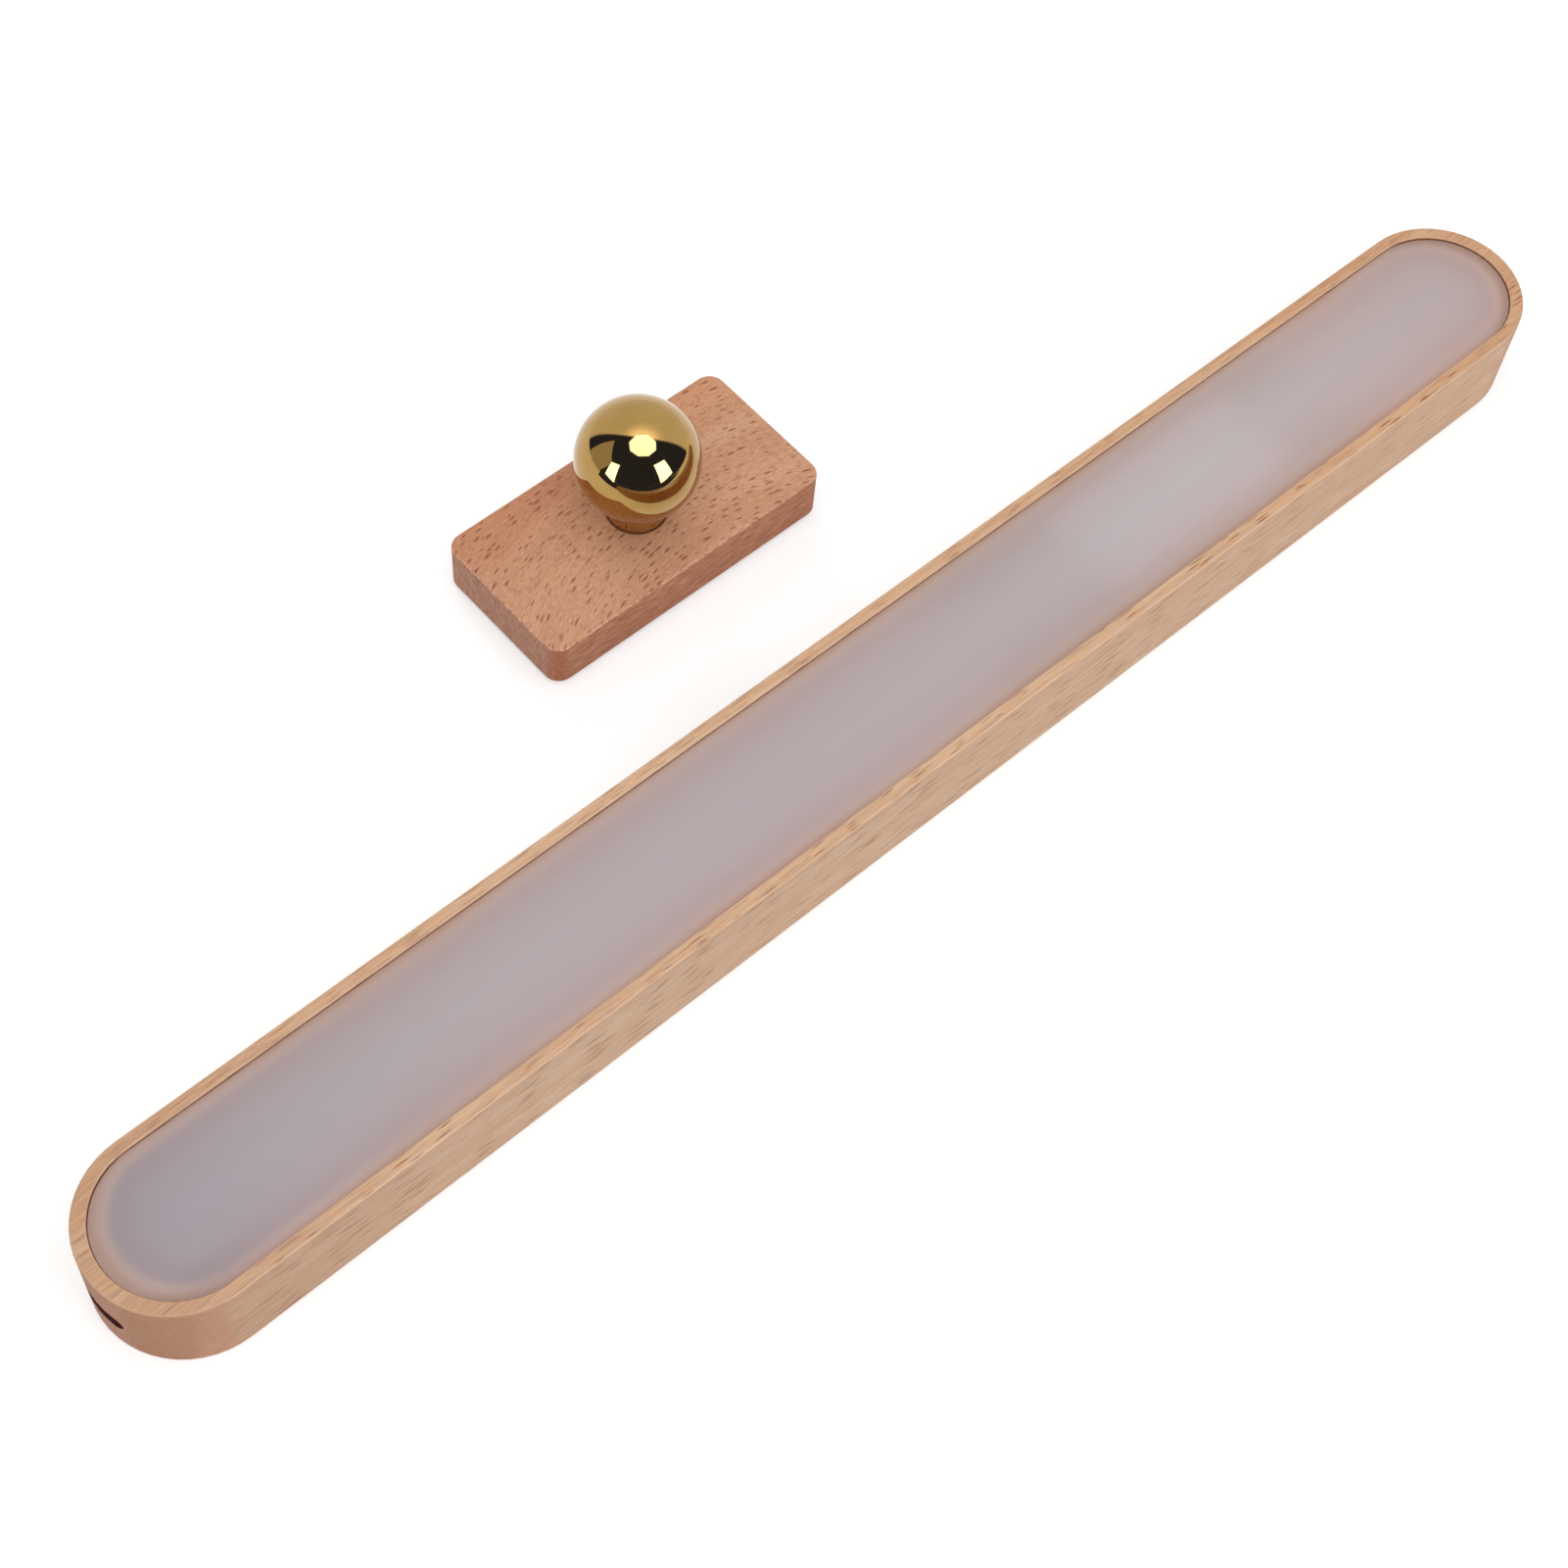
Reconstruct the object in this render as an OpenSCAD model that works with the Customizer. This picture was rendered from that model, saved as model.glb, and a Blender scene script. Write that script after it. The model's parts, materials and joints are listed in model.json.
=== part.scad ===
// Rechargeable wooden vanity light. A beech light bar with a frosted front lies beside its wall base,
// a small beech plate that carries a gilded ball. The bar's magnetic seat drops onto the ball.
// Origin: centre of the wall face, under the ball. +Z points away from the wall, +X runs along the bar.

/* [Light bar] */
// Length of the bar over its round ends
bar_len = 403.5; // [340:0.5:460]
// Width of the bar, and so the diameter of its round ends
bar_w = 40; // [37:0.5:46]
// Thickness of the bar from its back to its rim
bar_t = 23.6; // [22.5:0.1:28]
// Width of the wooden rim along the diffuser's straight sides
rim_w = 2.8; // [2:0.1:3.5]
// Width of the wooden rim at the bar's round ends
rim_end_w = 3.3; // [2.5:0.1:4]
// Rounding of the rim's inner edge
rim_edge_r = 0.3; // [0.1:0.1:0.4]
// Thickness of the wooden back wall
back_t = 2.4; // [2:0.1:3.2]
// Rounding of the bar's outer edges
bar_edge_r = 0.5; // [0.3:0.1:1.5]
// Where the bar's middle lies along X, measured from the ball
bar_x = 3; // [-6:0.1:6]
// How far the bar's middle lies in front of the ball
bar_away = 77.3; // [70:0.1:100]

/* [Diffuser] */
// Thickness of the frosted diffuser
diffuser_t = 2.2; // [1.5:0.1:3]
// How far the diffuser lies below the rim
diffuser_drop = 0.7; // [0.5:0.1:2.5]
// Rounding of the diffuser's edges
diffuser_edge_r = 0.15; // [0.1:0.05:0.7]
// Gap between the diffuser and the rim all round
diffuser_gap = 0.1; // [0.05:0.05:0.3]
// Width of the ledge that the diffuser rests on
ledge_w = 2.9; // [2:0.1:3.6]

/* [Lamp board] */
// Thickness of the lamp board
led_board_t = 1; // [0.8:0.1:1.6]
// Width of the ledge that the lamp board rests on
board_ledge_w = 1.3; // [0.8:0.1:1.8]
// Lamp chip width along the bar
led_w = 2.8; // [2:0.1:3.5]
// Lamp chip length across the bar
led_l = 3.5; // [2.5:0.1:4]
// Lamp chip height
led_h = 0.7; // [0.5:0.1:1]
// Step from one lamp chip to the next
led_pitch = 14; // [9:0.5:20]
// Distance of each row of lamp chips from the middle
led_row_y = 5.4; // [5:0.1:8]
// Shank diameter of the lamp board's screws
board_screw_d = 2.2; // [1.8:0.1:2.4]
// Head diameter of the lamp board's screws
board_head_d = 4.2; // [3.4:0.1:5]
// Head height of the lamp board's screws
board_head_h = 1.3; // [0.8:0.1:1.8]
// Shank length of the lamp board's screws
board_screw_l = 6; // [4:0.5:8]
// Diameter of the posts that take the lamp board's screws
board_post_d = 7; // [5:0.5:8]

/* [Battery] */
// Number of cells in the row
cell_count = 2; // [1:1:2]
// Diameter of one cell
cell_d = 10.4; // [9:0.1:11]
// Length of one cell without its contact button
cell_l = 43.5; // [38:0.5:48]
// Diameter of a cell's contact button
cell_button_d = 4; // [3:0.1:5]
// Height of a cell's contact button
cell_button_h = 1; // [0.6:0.1:1.4]
// Thickness of the cradle under the cells
cradle_floor = 0.5; // [0.4:0.1:0.8]
// Width of the cradle's side walls at the cells' middle
cradle_wall = 1.2; // [0.8:0.1:1.6]
// Thickness of the nickel tabs
tab_t = 0.3; // [0.2:0.1:0.5]
// Diameter of the battery's leads
battery_lead_d = 1.4; // [1:0.1:1.6]

/* [Control board] */
// Length of the control board
control_l = 38; // [34:1:46]
// Width of the control board
control_w = 23; // [22.5:0.1:24]
// Thickness of the control board
control_t = 1; // [0.8:0.1:1.2]
// Shank diameter of the control board's screws
control_screw_d = 1.8; // [1.4:0.1:2]
// Head diameter of the control board's screws
control_head_d = 3.4; // [3:0.1:3.8]
// Head height of the control board's screws
control_head_h = 1; // [0.7:0.1:1.4]
// Shank length of the control board's screws
control_screw_l = 3.6; // [2.5:0.1:4]
// Width of the wooden rib under the control board's rear edge
rib_w = 3; // [2:0.5:5]
// Length of the plugs that the leads end in
plug_l = 5; // [4:0.5:7]
// Side of the charging chip
chip_side = 5; // [3:0.5:6]
// Height of the charging chip
chip_h = 1; // [0.6:0.1:1.4]
// Diameter of the coil
coil_d = 6; // [4:0.5:6.5]
// Height of the coil
coil_h = 2.8; // [2:0.1:4]
// Diameter of the two capacitors
can_d = 3; // [2:0.1:3.2]
// Height of the two capacitors
can_h = 4; // [3:0.1:5]
// Thickness of the header's pins
pin_w = 0.64; // [0.5:0.02:0.8]
// Distance between the header's pins
pin_pitch = 2.54; // [2:0.02:2.8]
// Side and height of the header's base
header_side = 2.5; // [2:0.1:3]

/* [Charging port] */
// Height of the port's middle above the bar's back
port_z = 10.65; // [9.6:0.05:11.2]
// Width of the slot in the wooden end
port_w = 13.3; // [11:0.1:14]
// Height of the slot in the wooden end
port_h = 4.7; // [3.8:0.1:5.2]
// Width of the metal socket
socket_w = 8.94; // [8.5:0.02:9.4]
// Height of the metal socket
socket_h = 3.16; // [3.06:0.02:3.26]
// Depth of the metal socket
socket_l = 7.9; // [7.3:0.1:10]
// Sheet thickness of the metal socket
socket_wall = 0.3; // [0.2:0.05:0.4]
// How far the socket's mouth lies inside the end of the bar
socket_inset = 1.6; // [0.8:0.1:2.4]
// Thickness of the tongue in the socket
tongue_t = 0.7; // [0.5:0.05:0.9]
// Width of the tongue in the socket
tongue_w = 6.7; // [6:0.1:7.2]
// How far the tongue's tip lies inside the socket's mouth
tongue_inset = 0.8; // [0.5:0.1:1.5]
// Length of the block that closes the socket's rear
socket_base_l = 2; // [1.5:0.1:3]

/* [Magnetic seat] */
// Diameter of the steel seat in the bar's back
seat_d = 24; // [22:0.5:25]
// Depth of the hollow that takes the ball
seat_depth = 3.2; // [2.4:0.1:3.6]
// Steel left behind the hollow
seat_web = 1.3; // [1:0.1:1.8]
// Diameter of the stem that the magnet fits round
seat_stem_d = 6; // [5:0.1:7]
// Thickness of the ring magnet
magnet_t = 3.8; // [3:0.1:4.2]
// Width of wood left round the magnet
seat_wall = 1.8; // [1.4:0.1:2.2]
// Thickness of wood above the magnet
seat_roof = 2.2; // [1.8:0.1:2.6]
// Thread diameter of the seat's screw
seat_screw_d = 3; // [2.5:0.1:3.4]
// Head diameter of the seat's screw
seat_head_d = 5.5; // [5:0.1:6]
// Head height of the seat's screw
seat_head_h = 1.7; // [1.4:0.1:2]
// Diameter of the washer under the seat's screw
seat_washer_d = 7; // [6.4:0.1:8]
// Thickness of the washer under the seat's screw
seat_washer_t = 0.5; // [0.4:0.1:0.8]

/* [Power button] */
// Diameter of the button in the far end
button_d = 7; // [6:0.1:8]
// Travel of the button
button_travel = 0.6; // [0.4:0.1:0.9]
// Rounding of the button's front edge
button_edge_r = 0.5; // [0.2:0.1:0.8]
// How far the button's face lies inside the end of the bar
button_inset = 0.4; // [0.2:0.1:0.8]
// Width of the flange that keeps the button in
button_flange_w = 1.1; // [0.8:0.1:1.4]
// Thickness of the flange that keeps the button in
button_flange_t = 1.2; // [0.8:0.1:1.6]
// Diameter of the plunger on the button's back
plunger_d = 3.4; // [3:0.1:4]
// Side of the square push switch
switch_side = 6.2; // [5.8:0.1:6.8]
// Depth of the square push switch
switch_l = 3.5; // [3:0.1:4]
// Thickness of the switch's board
switch_board_t = 1; // [0.8:0.1:1.4]
// Width of the switch's board
switch_board_w = 22; // [21:0.5:23]
// Diameter of the switch's leads
switch_lead_d = 1.2; // [0.9:0.1:1.4]

/* [Ball and neck] */
// Diameter of the gilded ball
ball_d = 28.5; // [26:0.1:31]
// Diameter of the neck under the ball
neck_d = 14; // [12:0.1:17]
// Height of the ball's middle above the plate's face
ball_rise = 18.3; // [17.5:0.1:22]
// Diameter of the spigot that turns in the plate
spigot_d = 8; // [7:0.1:9]
// Thread diameter of the screw that holds the ball
post_screw_d = 4; // [3.5:0.1:5]
// Head diameter of the screw that holds the ball
post_head_d = 7.6; // [6.8:0.1:9]
// Head height of the screw that holds the ball
post_head_h = 2.4; // [2:0.1:2.8]
// Washer diameter behind the spigot
post_washer_d = 11; // [10:0.1:13]
// Washer thickness behind the spigot
post_washer_t = 1; // [0.8:0.1:1.4]

/* [Wall plate] */
// Length of the wall plate
plate_l = 79; // [70:0.1:90]
// Width of the wall plate
plate_w = 39.2; // [34:0.1:44]
// Thickness of the wall plate
plate_t = 12.4; // [11.5:0.1:15]
// Radius of the plate's upright corners
plate_corner_r = 4; // [2.5:0.1:7]
// Rounding of the plate's edges
plate_edge_r = 0.5; // [0.3:0.1:1.5]
// Thickness of the adhesive pad on the back
pad_t = 0.8; // [0.5:0.1:1.2]
// Width of wood left bare round the adhesive pad
pad_margin = 4; // [3:0.5:6]
// Radius of the adhesive pad's corners
pad_corner_r = 3; // [2:0.5:5]

/* [Fits] */
// Gap on each side of a piece laid into the wood
seat_fit = 0.2; // [0.1:0.05:0.3]
// Radial gap of a turning or sliding fit
running_fit = 0.06; // [0.04:0.01:0.1]
// Radial gap at a screw's thread
thread_fit = 0.04; // [0.02:0.01:0.06]
// Gap between a free screw shank and its hole, on each side
shank_gap = 0.2; // [0.1:0.05:0.3]
// Gap between the cells and their cradle, and between the ball and its seat
curved_gap = 0.3; // [0.2:0.05:0.4]
// Gap kept between stacked inner pieces that do not touch
stack_gap = 0.5; // [0.4:0.05:0.8]

/* [Hidden] */
$fn = 64;
// Small overlap that lets a cut pass through a face
cut = 0.1;

// Half length of the bar's straight stretch, from one end's axis to the middle
half_run = (bar_len - bar_w) / 2;
recess_r = bar_w / 2 - rim_w;
// Half length of the recess's straight stretch, which is cut short where the rim is wider at the ends
recess_run = half_run + rim_w - rim_end_w;
ledge_z = bar_t - diffuser_drop - diffuser_t;
board_r = recess_r - ledge_w;
pocket_r = board_r - board_ledge_w;

// The seat is built round the ball's axis, which meets the bar at this place along it
seat_x = -bar_x;
seat_t = seat_depth + seat_web;
seat_top = seat_t + magnet_t + seat_fit + seat_roof;
seat_head_top = seat_top + seat_washer_t + seat_head_h;
seat_boss_r = seat_d / 2 + seat_wall;
seat_sphere_r = ball_d / 2 + curved_gap;
// Height of the bar's back above the ball's middle when the bar is seated
seat_lift = seat_sphere_r - seat_depth;

cell_r = cell_d / 2;
cell_z = back_t + cradle_floor + curved_gap + cell_r;
board_z = max(cell_z + cell_r, seat_head_top) + stack_gap;

// The row of cells ends beside the seat
cell_step = cell_l + cell_button_h + tab_t;
row_l = cell_count * cell_step + tab_t;
row_end = seat_x - seat_boss_r - stack_gap;
row_start = row_end - row_l;
cradle_w = cell_d + 2 * (curved_gap + cradle_wall);
near_lead_y = -(cradle_w / 2 + battery_lead_d / 2);
far_lead_y = near_lead_y - battery_lead_d - stack_gap;

control_x = -half_run - pocket_r + seat_fit;
control_end = control_x + control_l;
control_top = port_z - socket_h / 2;
control_z = control_top - control_t;
// The battery's leads leave their plug just above the control board
battery_lead_z = control_top + battery_lead_d / 2;
control_hole_x = -half_run;
control_hole_y = control_w / 2 - control_head_d / 2 - stack_gap;
socket_x = -bar_len / 2 + socket_inset;

button_x = bar_len / 2 - button_inset;
button_z = (back_t + board_z) / 2;
flange_r = button_d / 2 + button_flange_w;
// The flange stops against the round inner end of the pocket
flange_x = half_run + sqrt(pow(pocket_r, 2) - pow(flange_r, 2)) - running_fit;
flange_back = flange_x - button_flange_t;
// The switch stands clear of the pressed button, or further in where its board needs more room
switch_board_room = half_run + sqrt(pow(pocket_r, 2) - pow(switch_board_w / 2, 2)) - seat_fit;
switch_back = min(flange_back - button_travel - stack_gap - switch_l, switch_board_room);
switch_x = switch_back + switch_l;
switch_board_x = switch_back - switch_board_t;
switch_bore_l = 2 * (button_travel + stack_gap);
plunger_l = flange_back - switch_x + stack_gap;

switch_lead_z = board_z - stack_gap - switch_lead_d / 2;
switch_lead_y1 = (switch_board_w - switch_lead_d) / 2;
switch_lead_y2 = switch_lead_y1 - switch_lead_d - stack_gap;

// Screws of the lamp board: one between the boards, three beyond the seat
post_gap_x = (control_end + row_start) / 2;
far_post_x = switch_board_x - board_post_d;
first_post_x = seat_x + seat_boss_r + board_post_d;
board_posts = [post_gap_x, first_post_x, (first_post_x + far_post_x) / 2, far_post_x];

led_count = round(2 * half_run / led_pitch);

plate_top = pad_t + plate_t;
ball_z = plate_top + ball_rise;
bore_depth = post_washer_t + post_head_h + stack_gap;
bore_roof = pad_t + bore_depth;
post_screw_l = plate_top - bore_roof + ball_rise - ball_d / 2;

// Colours as the photograph shows them
beech = [0.80, 0.65, 0.52];
red_beech = [0.78, 0.58, 0.45];
gold = [0.85, 0.68, 0.33];
frosted = [0.74, 0.68, 0.66];
white_board = [0.92, 0.92, 0.90];
green_board = [0.12, 0.38, 0.22];
steel = [0.72, 0.73, 0.75];
nickel = [0.78, 0.76, 0.72];
black_plastic = [0.10, 0.10, 0.11];
blue_sleeve = [0.16, 0.33, 0.62];

// Upright outline of a slab's outer part: from the axis out to r, with both outer edges rounded
module edge_section(r, h, edge_r) {
    square([r - edge_r, h]);
    translate([0, edge_r]) square([r, h - 2 * edge_r]);
    for (z = [edge_r, h - edge_r]) translate([r - edge_r, z]) circle(edge_r);
}

// Upright outline of a milled recess: from the axis out to r, opening out round its rounded upper edge
module recess_section(r, h, edge_r) {
    square([r, h]);
    difference() {
        translate([0, h - edge_r]) square([r + edge_r, edge_r + cut]);
        translate([r + edge_r, h - edge_r]) circle(edge_r);
    }
}

module both_sides() {
    children();
    mirror([1, 0]) children();
}

// Carries an upright outline along a straight stretch and round its two ends
module round_ended(half_l) {
    translate([-half_l, 0, 0]) rotate([90, 0, 90]) linear_extrude(2 * half_l) both_sides() children();
    for (s = [-1, 1]) translate([s * half_l, 0, 0]) rotate([0, 0, -90 * s])
        rotate_extrude(angle = 180) children();
}

// Slab with round upright corners and rounded edges
module soft_slab(l, w, corner_r, h, edge_r) {
    dx = l / 2 - corner_r;
    dy = w / 2 - corner_r;
    translate([-dx, 0, 0]) rotate([90, 0, 90]) linear_extrude(2 * dx)
        both_sides() edge_section(w / 2, h, edge_r);
    translate([0, dy, 0]) rotate([90, 0, 0]) linear_extrude(2 * dy)
        both_sides() edge_section(l / 2, h, edge_r);
    for (sx = [-1, 1], sy = [-1, 1])
        translate([sx * dx, sy * dy, 0]) rotate([0, 0, sx > 0 ? (sy > 0 ? 0 : 270) : (sy > 0 ? 90 : 180)])
            rotate_extrude(angle = 90) edge_section(corner_r, h, edge_r);
}

// Flat outline with round ends, along X
module run_outline(half_l, r) {
    square([2 * half_l, 2 * r], center = true);
    for (s = [-1, 1]) translate([s * half_l, 0]) circle(r);
}

module run_slab(half_l, r, z, h) {
    translate([0, 0, z]) linear_extrude(h) run_outline(half_l, r);
}

// Places what belongs to the bar where the bar lies
module on_bar() {
    translate([bar_x, -bar_away, 0]) children();
}

module rod_x(x, l, y, z, d) {
    translate([x, y, z]) rotate([0, 90, 0]) cylinder(h = l, d = d);
}

module block(x, y, z, size) {
    translate([x, y, z]) cube(size);
}

// Pan-head screw with its shank pointing down from z = 0 and a cross recess in its head
module pan_screw(d, l, head_d, head_h) {
    slot_w = head_d / 5;
    difference() {
        union() {
            translate([0, 0, -l]) cylinder(h = l + head_h / 2, d = d);
            cylinder(h = head_h, d = head_d);
        }
        for (a = [0, 90]) rotate([0, 0, a])
            translate([-head_d / 3, -slot_w / 2, head_h / 2]) cube([2 * head_d / 3, slot_w, head_h]);
    }
}

module wall_plate() {
    color(red_beech) difference() {
        translate([0, 0, pad_t]) soft_slab(plate_l, plate_w, plate_corner_r, plate_t, plate_edge_r);
        cylinder(h = plate_top + cut, d = spigot_d + 2 * running_fit);
        cylinder(h = bore_roof, d = post_washer_d + 2 * stack_gap);
    }
}

module adhesive_pad() {
    pad_l = plate_l - 2 * pad_margin;
    pad_w = plate_w - 2 * pad_margin;
    color(black_plastic) linear_extrude(pad_t) union() {
        square([pad_l - 2 * pad_corner_r, pad_w], center = true);
        square([pad_l, pad_w - 2 * pad_corner_r], center = true);
        for (sx = [-1, 1], sy = [-1, 1])
            translate([sx * (pad_l / 2 - pad_corner_r), sy * (pad_w / 2 - pad_corner_r)])
                circle(pad_corner_r);
    }
}

module ball_stud() {
    spigot_end = bore_roof - running_fit;
    color(gold) difference() {
        union() {
            translate([0, 0, ball_z]) sphere(d = ball_d);
            translate([0, 0, plate_top]) cylinder(h = ball_rise, d = neck_d);
            translate([0, 0, spigot_end]) cylinder(h = ball_rise, d = spigot_d);
        }
        translate([0, 0, spigot_end - cut])
            cylinder(h = post_screw_l + stack_gap, d = post_screw_d + 2 * thread_fit);
    }
}

module post_washer() {
    color(steel) translate([0, 0, bore_roof - running_fit - post_washer_t]) difference() {
        cylinder(h = post_washer_t, d = post_washer_d);
        translate([0, 0, -cut]) cylinder(h = post_washer_t + 2 * cut, d = post_screw_d + 2 * shank_gap);
    }
}

module post_screw() {
    color(steel) translate([0, 0, bore_roof - running_fit - post_washer_t]) mirror([0, 0, 1])
        pan_screw(post_screw_d, post_screw_l, post_head_d, post_head_h);
}

// Round posts and ribs of wood that stand on the bar's back wall
module housing_posts() {
    translate([seat_x, 0, 0]) cylinder(h = seat_top, r = seat_boss_r);
    for (x = board_posts) translate([x, 0, back_t - cut])
        cylinder(h = board_z - back_t + cut, d = board_post_d);
    for (s = [-1, 1]) translate([control_hole_x, s * control_hole_y, back_t - cut])
        cylinder(h = control_z - back_t + cut, d = control_head_d);
    block(control_end - rib_w, -control_w / 2, back_t - cut, [rib_w, control_w, control_z - back_t + cut]);
}

// The bar milled out from the front, before any hole is drilled
module milled_bar() {
    difference() {
        round_ended(half_run) edge_section(bar_w / 2, bar_t, bar_edge_r);
        translate([0, 0, ledge_z]) round_ended(recess_run)
            recess_section(recess_r, bar_t - ledge_z, rim_edge_r);
        run_slab(half_run, board_r, board_z, bar_t);
        run_slab(half_run, pocket_r, back_t, bar_t);
    }
    intersection() {
        housing_posts();
        run_slab(half_run, pocket_r + cut, 0, board_z);
    }
}

module bar_housing() {
    lead_groove_w = 2 * switch_lead_d + 3 * stack_gap;
    color(beech) on_bar() difference() {
        milled_bar();
        translate([seat_x, 0, -cut])
            cylinder(h = seat_t + magnet_t + seat_fit + cut, d = seat_d + 2 * seat_fit);
        translate([seat_x, 0, 0]) cylinder(h = bar_t, d = seat_screw_d + 2 * shank_gap);
        block(seat_x - bar_w / 2, switch_lead_y1 + switch_lead_d / 2 + stack_gap - lead_groove_w,
              switch_lead_z - switch_lead_d / 2 - stack_gap, [bar_w, lead_groove_w, bar_t]);
        for (x = board_posts) translate([x, 0, board_z - board_screw_l])
            cylinder(h = bar_t, d = board_screw_d + 2 * thread_fit);
        for (s = [-1, 1]) translate([control_hole_x, s * control_hole_y, control_top - control_screw_l])
            cylinder(h = bar_t, d = control_screw_d + 2 * thread_fit);
        translate([-bar_len / 2 - cut, 0, port_z]) rotate([90, 0, 90])
            linear_extrude(bar_w / 2) run_outline((port_w - port_h) / 2, port_h / 2);
        rod_x(half_run, bar_w, 0, button_z, button_d + 2 * running_fit);
    }
}

module diffuser() {
    color(frosted) on_bar() translate([0, 0, ledge_z])
        round_ended(recess_run) edge_section(recess_r - diffuser_gap, diffuser_t, diffuser_edge_r);
}

module led_board() {
    color(white_board) on_bar() difference() {
        run_slab(half_run, board_r - seat_fit, board_z, led_board_t);
        for (x = board_posts) translate([x, 0, board_z - cut])
            cylinder(h = led_board_t + 2 * cut, d = board_screw_d + 2 * shank_gap);
    }
}

module led_chips() {
    first = -(led_count - 1) * led_pitch / 2;
    color("lemonchiffon") on_bar() for (i = [0 : led_count - 1], s = [-1, 1])
        block(first + i * led_pitch - led_w / 2, s * led_row_y - led_l / 2, board_z + led_board_t,
              [led_w, led_l, led_h]);
}

module board_screws() {
    color(steel) on_bar() for (x = board_posts) translate([x, 0, board_z + led_board_t])
        pan_screw(board_screw_d, board_screw_l, board_head_d, board_head_h);
}

module battery_cells() {
    color(blue_sleeve) on_bar() for (i = [0 : cell_count - 1]) {
        x = row_start + tab_t + i * cell_step;
        rod_x(x, cell_l, 0, cell_z, cell_d);
        rod_x(x + cell_l - cut, cell_button_h + cut, 0, cell_z, cell_button_d);
    }
}

module battery_cradle() {
    color(black_plastic) on_bar() difference() {
        block(row_start + tab_t, -cradle_w / 2, back_t, [row_l - 2 * tab_t, cradle_w, cell_z - back_t]);
        rod_x(row_start - cut, row_l + 2 * cut, 0, cell_z, cell_d + 2 * curved_gap);
        for (i = [0 : cell_count])
            block(row_start + i * cell_step - stack_gap, -cell_r, back_t + cradle_floor,
                  [tab_t + 2 * stack_gap, cell_d, cell_d]);
    }
}

// Upright nickel strip across the row; the lug reaches out to the lead that ends on it
module tab(x, lug_y) {
    strip_w = cell_button_d;
    strip_z = cell_z - strip_w / 2;
    lug_h = battery_lead_z + battery_lead_d / 2 - strip_z;
    block(x, -strip_w / 2, strip_z, [tab_t, strip_w, strip_w]);
    if (lug_y < 0) block(x, lug_y, strip_z, [tab_t, -lug_y, lug_h]);
}

module battery_tabs() {
    color(nickel) on_bar() {
        tab(row_start, near_lead_y - battery_lead_d / 2);
        for (i = [1 : 1 : cell_count - 1]) tab(row_start + i * cell_step, 0);
        tab(row_start + cell_count * cell_step, far_lead_y - battery_lead_d / 2);
    }
}

module battery_leads() {
    color("firebrick") on_bar() {
        rod_x(control_end, row_start - control_end, near_lead_y, battery_lead_z, battery_lead_d);
        rod_x(control_end, row_end - tab_t - control_end, far_lead_y, battery_lead_z, battery_lead_d);
    }
}

module control_board() {
    color(green_board) on_bar() difference() {
        translate([0, 0, control_z]) linear_extrude(control_t) intersection() {
            translate([control_x, -control_w / 2]) square([control_l, control_w]);
            run_outline(half_run, pocket_r - seat_fit);
        }
        for (s = [-1, 1]) translate([control_hole_x, s * control_hole_y, control_z - cut])
            cylinder(h = control_t + 2 * cut, d = control_screw_d + 2 * shank_gap);
    }
}

// Sockets for the leads at the board's rear edge, with the charging chip, coil and capacitors
module control_chips() {
    lead_plug_w = 2 * battery_lead_d + 2 * stack_gap;
    switch_plug_w = 2 * switch_lead_d + 2 * stack_gap;
    middle = (control_x + control_end) / 2;
    color(black_plastic) on_bar() {
        block(control_end - plug_l, far_lead_y - battery_lead_d / 2, control_top,
              [plug_l, lead_plug_w, battery_lead_d + stack_gap]);
        block(control_end - plug_l, switch_lead_y2 - switch_lead_d / 2 - stack_gap / 2, control_top,
              [plug_l, switch_plug_w, switch_lead_z + switch_lead_d / 2 - control_top]);
        block(middle - chip_side, -chip_side / 2, control_top, [chip_side, chip_side, chip_h]);
        translate([middle + coil_d / 2 + stack_gap, coil_d / 2, control_top])
            cylinder(h = coil_h, d = coil_d);
        for (y = [can_d / 2, 3 * can_d / 2 + stack_gap])
            translate([middle + can_d, -y - stack_gap, control_top]) cylinder(h = can_h, d = can_d);
    }
}

module control_screws() {
    color(steel) on_bar() for (s = [-1, 1]) translate([control_hole_x, s * control_hole_y, control_top])
        pan_screw(control_screw_d, control_screw_l, control_head_d, control_head_h);
}

// Upright pins that carry power from the control board to the lamp board
module board_header() {
    x = control_end - plug_l / 2;
    pin_z = control_top + header_side - cut;
    color(black_plastic) on_bar() {
        block(x - header_side / 2, -pin_pitch, control_top, [header_side, 2 * pin_pitch, header_side]);
        for (s = [-1, 1])
            block(x - pin_w / 2, (s * pin_pitch - pin_w) / 2, pin_z, [pin_w, pin_w, board_z - pin_z]);
    }
}

// Flat oval outline of the socket, across the bar
module socket_outline(inset) {
    r = socket_h / 2 - inset;
    run_outline(socket_w / 2 - socket_h / 2, r);
}

module usb_shell() {
    color(steel) on_bar() translate([socket_x, 0, port_z]) rotate([90, 0, 90]) difference() {
        linear_extrude(socket_l) socket_outline(0);
        translate([0, 0, -cut]) linear_extrude(socket_l + 2 * cut) socket_outline(socket_wall);
    }
}

module usb_tongue() {
    color(black_plastic) on_bar() translate([socket_x, 0, port_z]) rotate([90, 0, 90]) union() {
        translate([0, 0, socket_l - socket_base_l]) linear_extrude(socket_base_l)
            socket_outline(socket_wall);
        translate([-tongue_w / 2, -tongue_t / 2, tongue_inset])
            cube([tongue_w, tongue_t, socket_l - socket_base_l - tongue_inset + cut]);
    }
}

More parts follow.
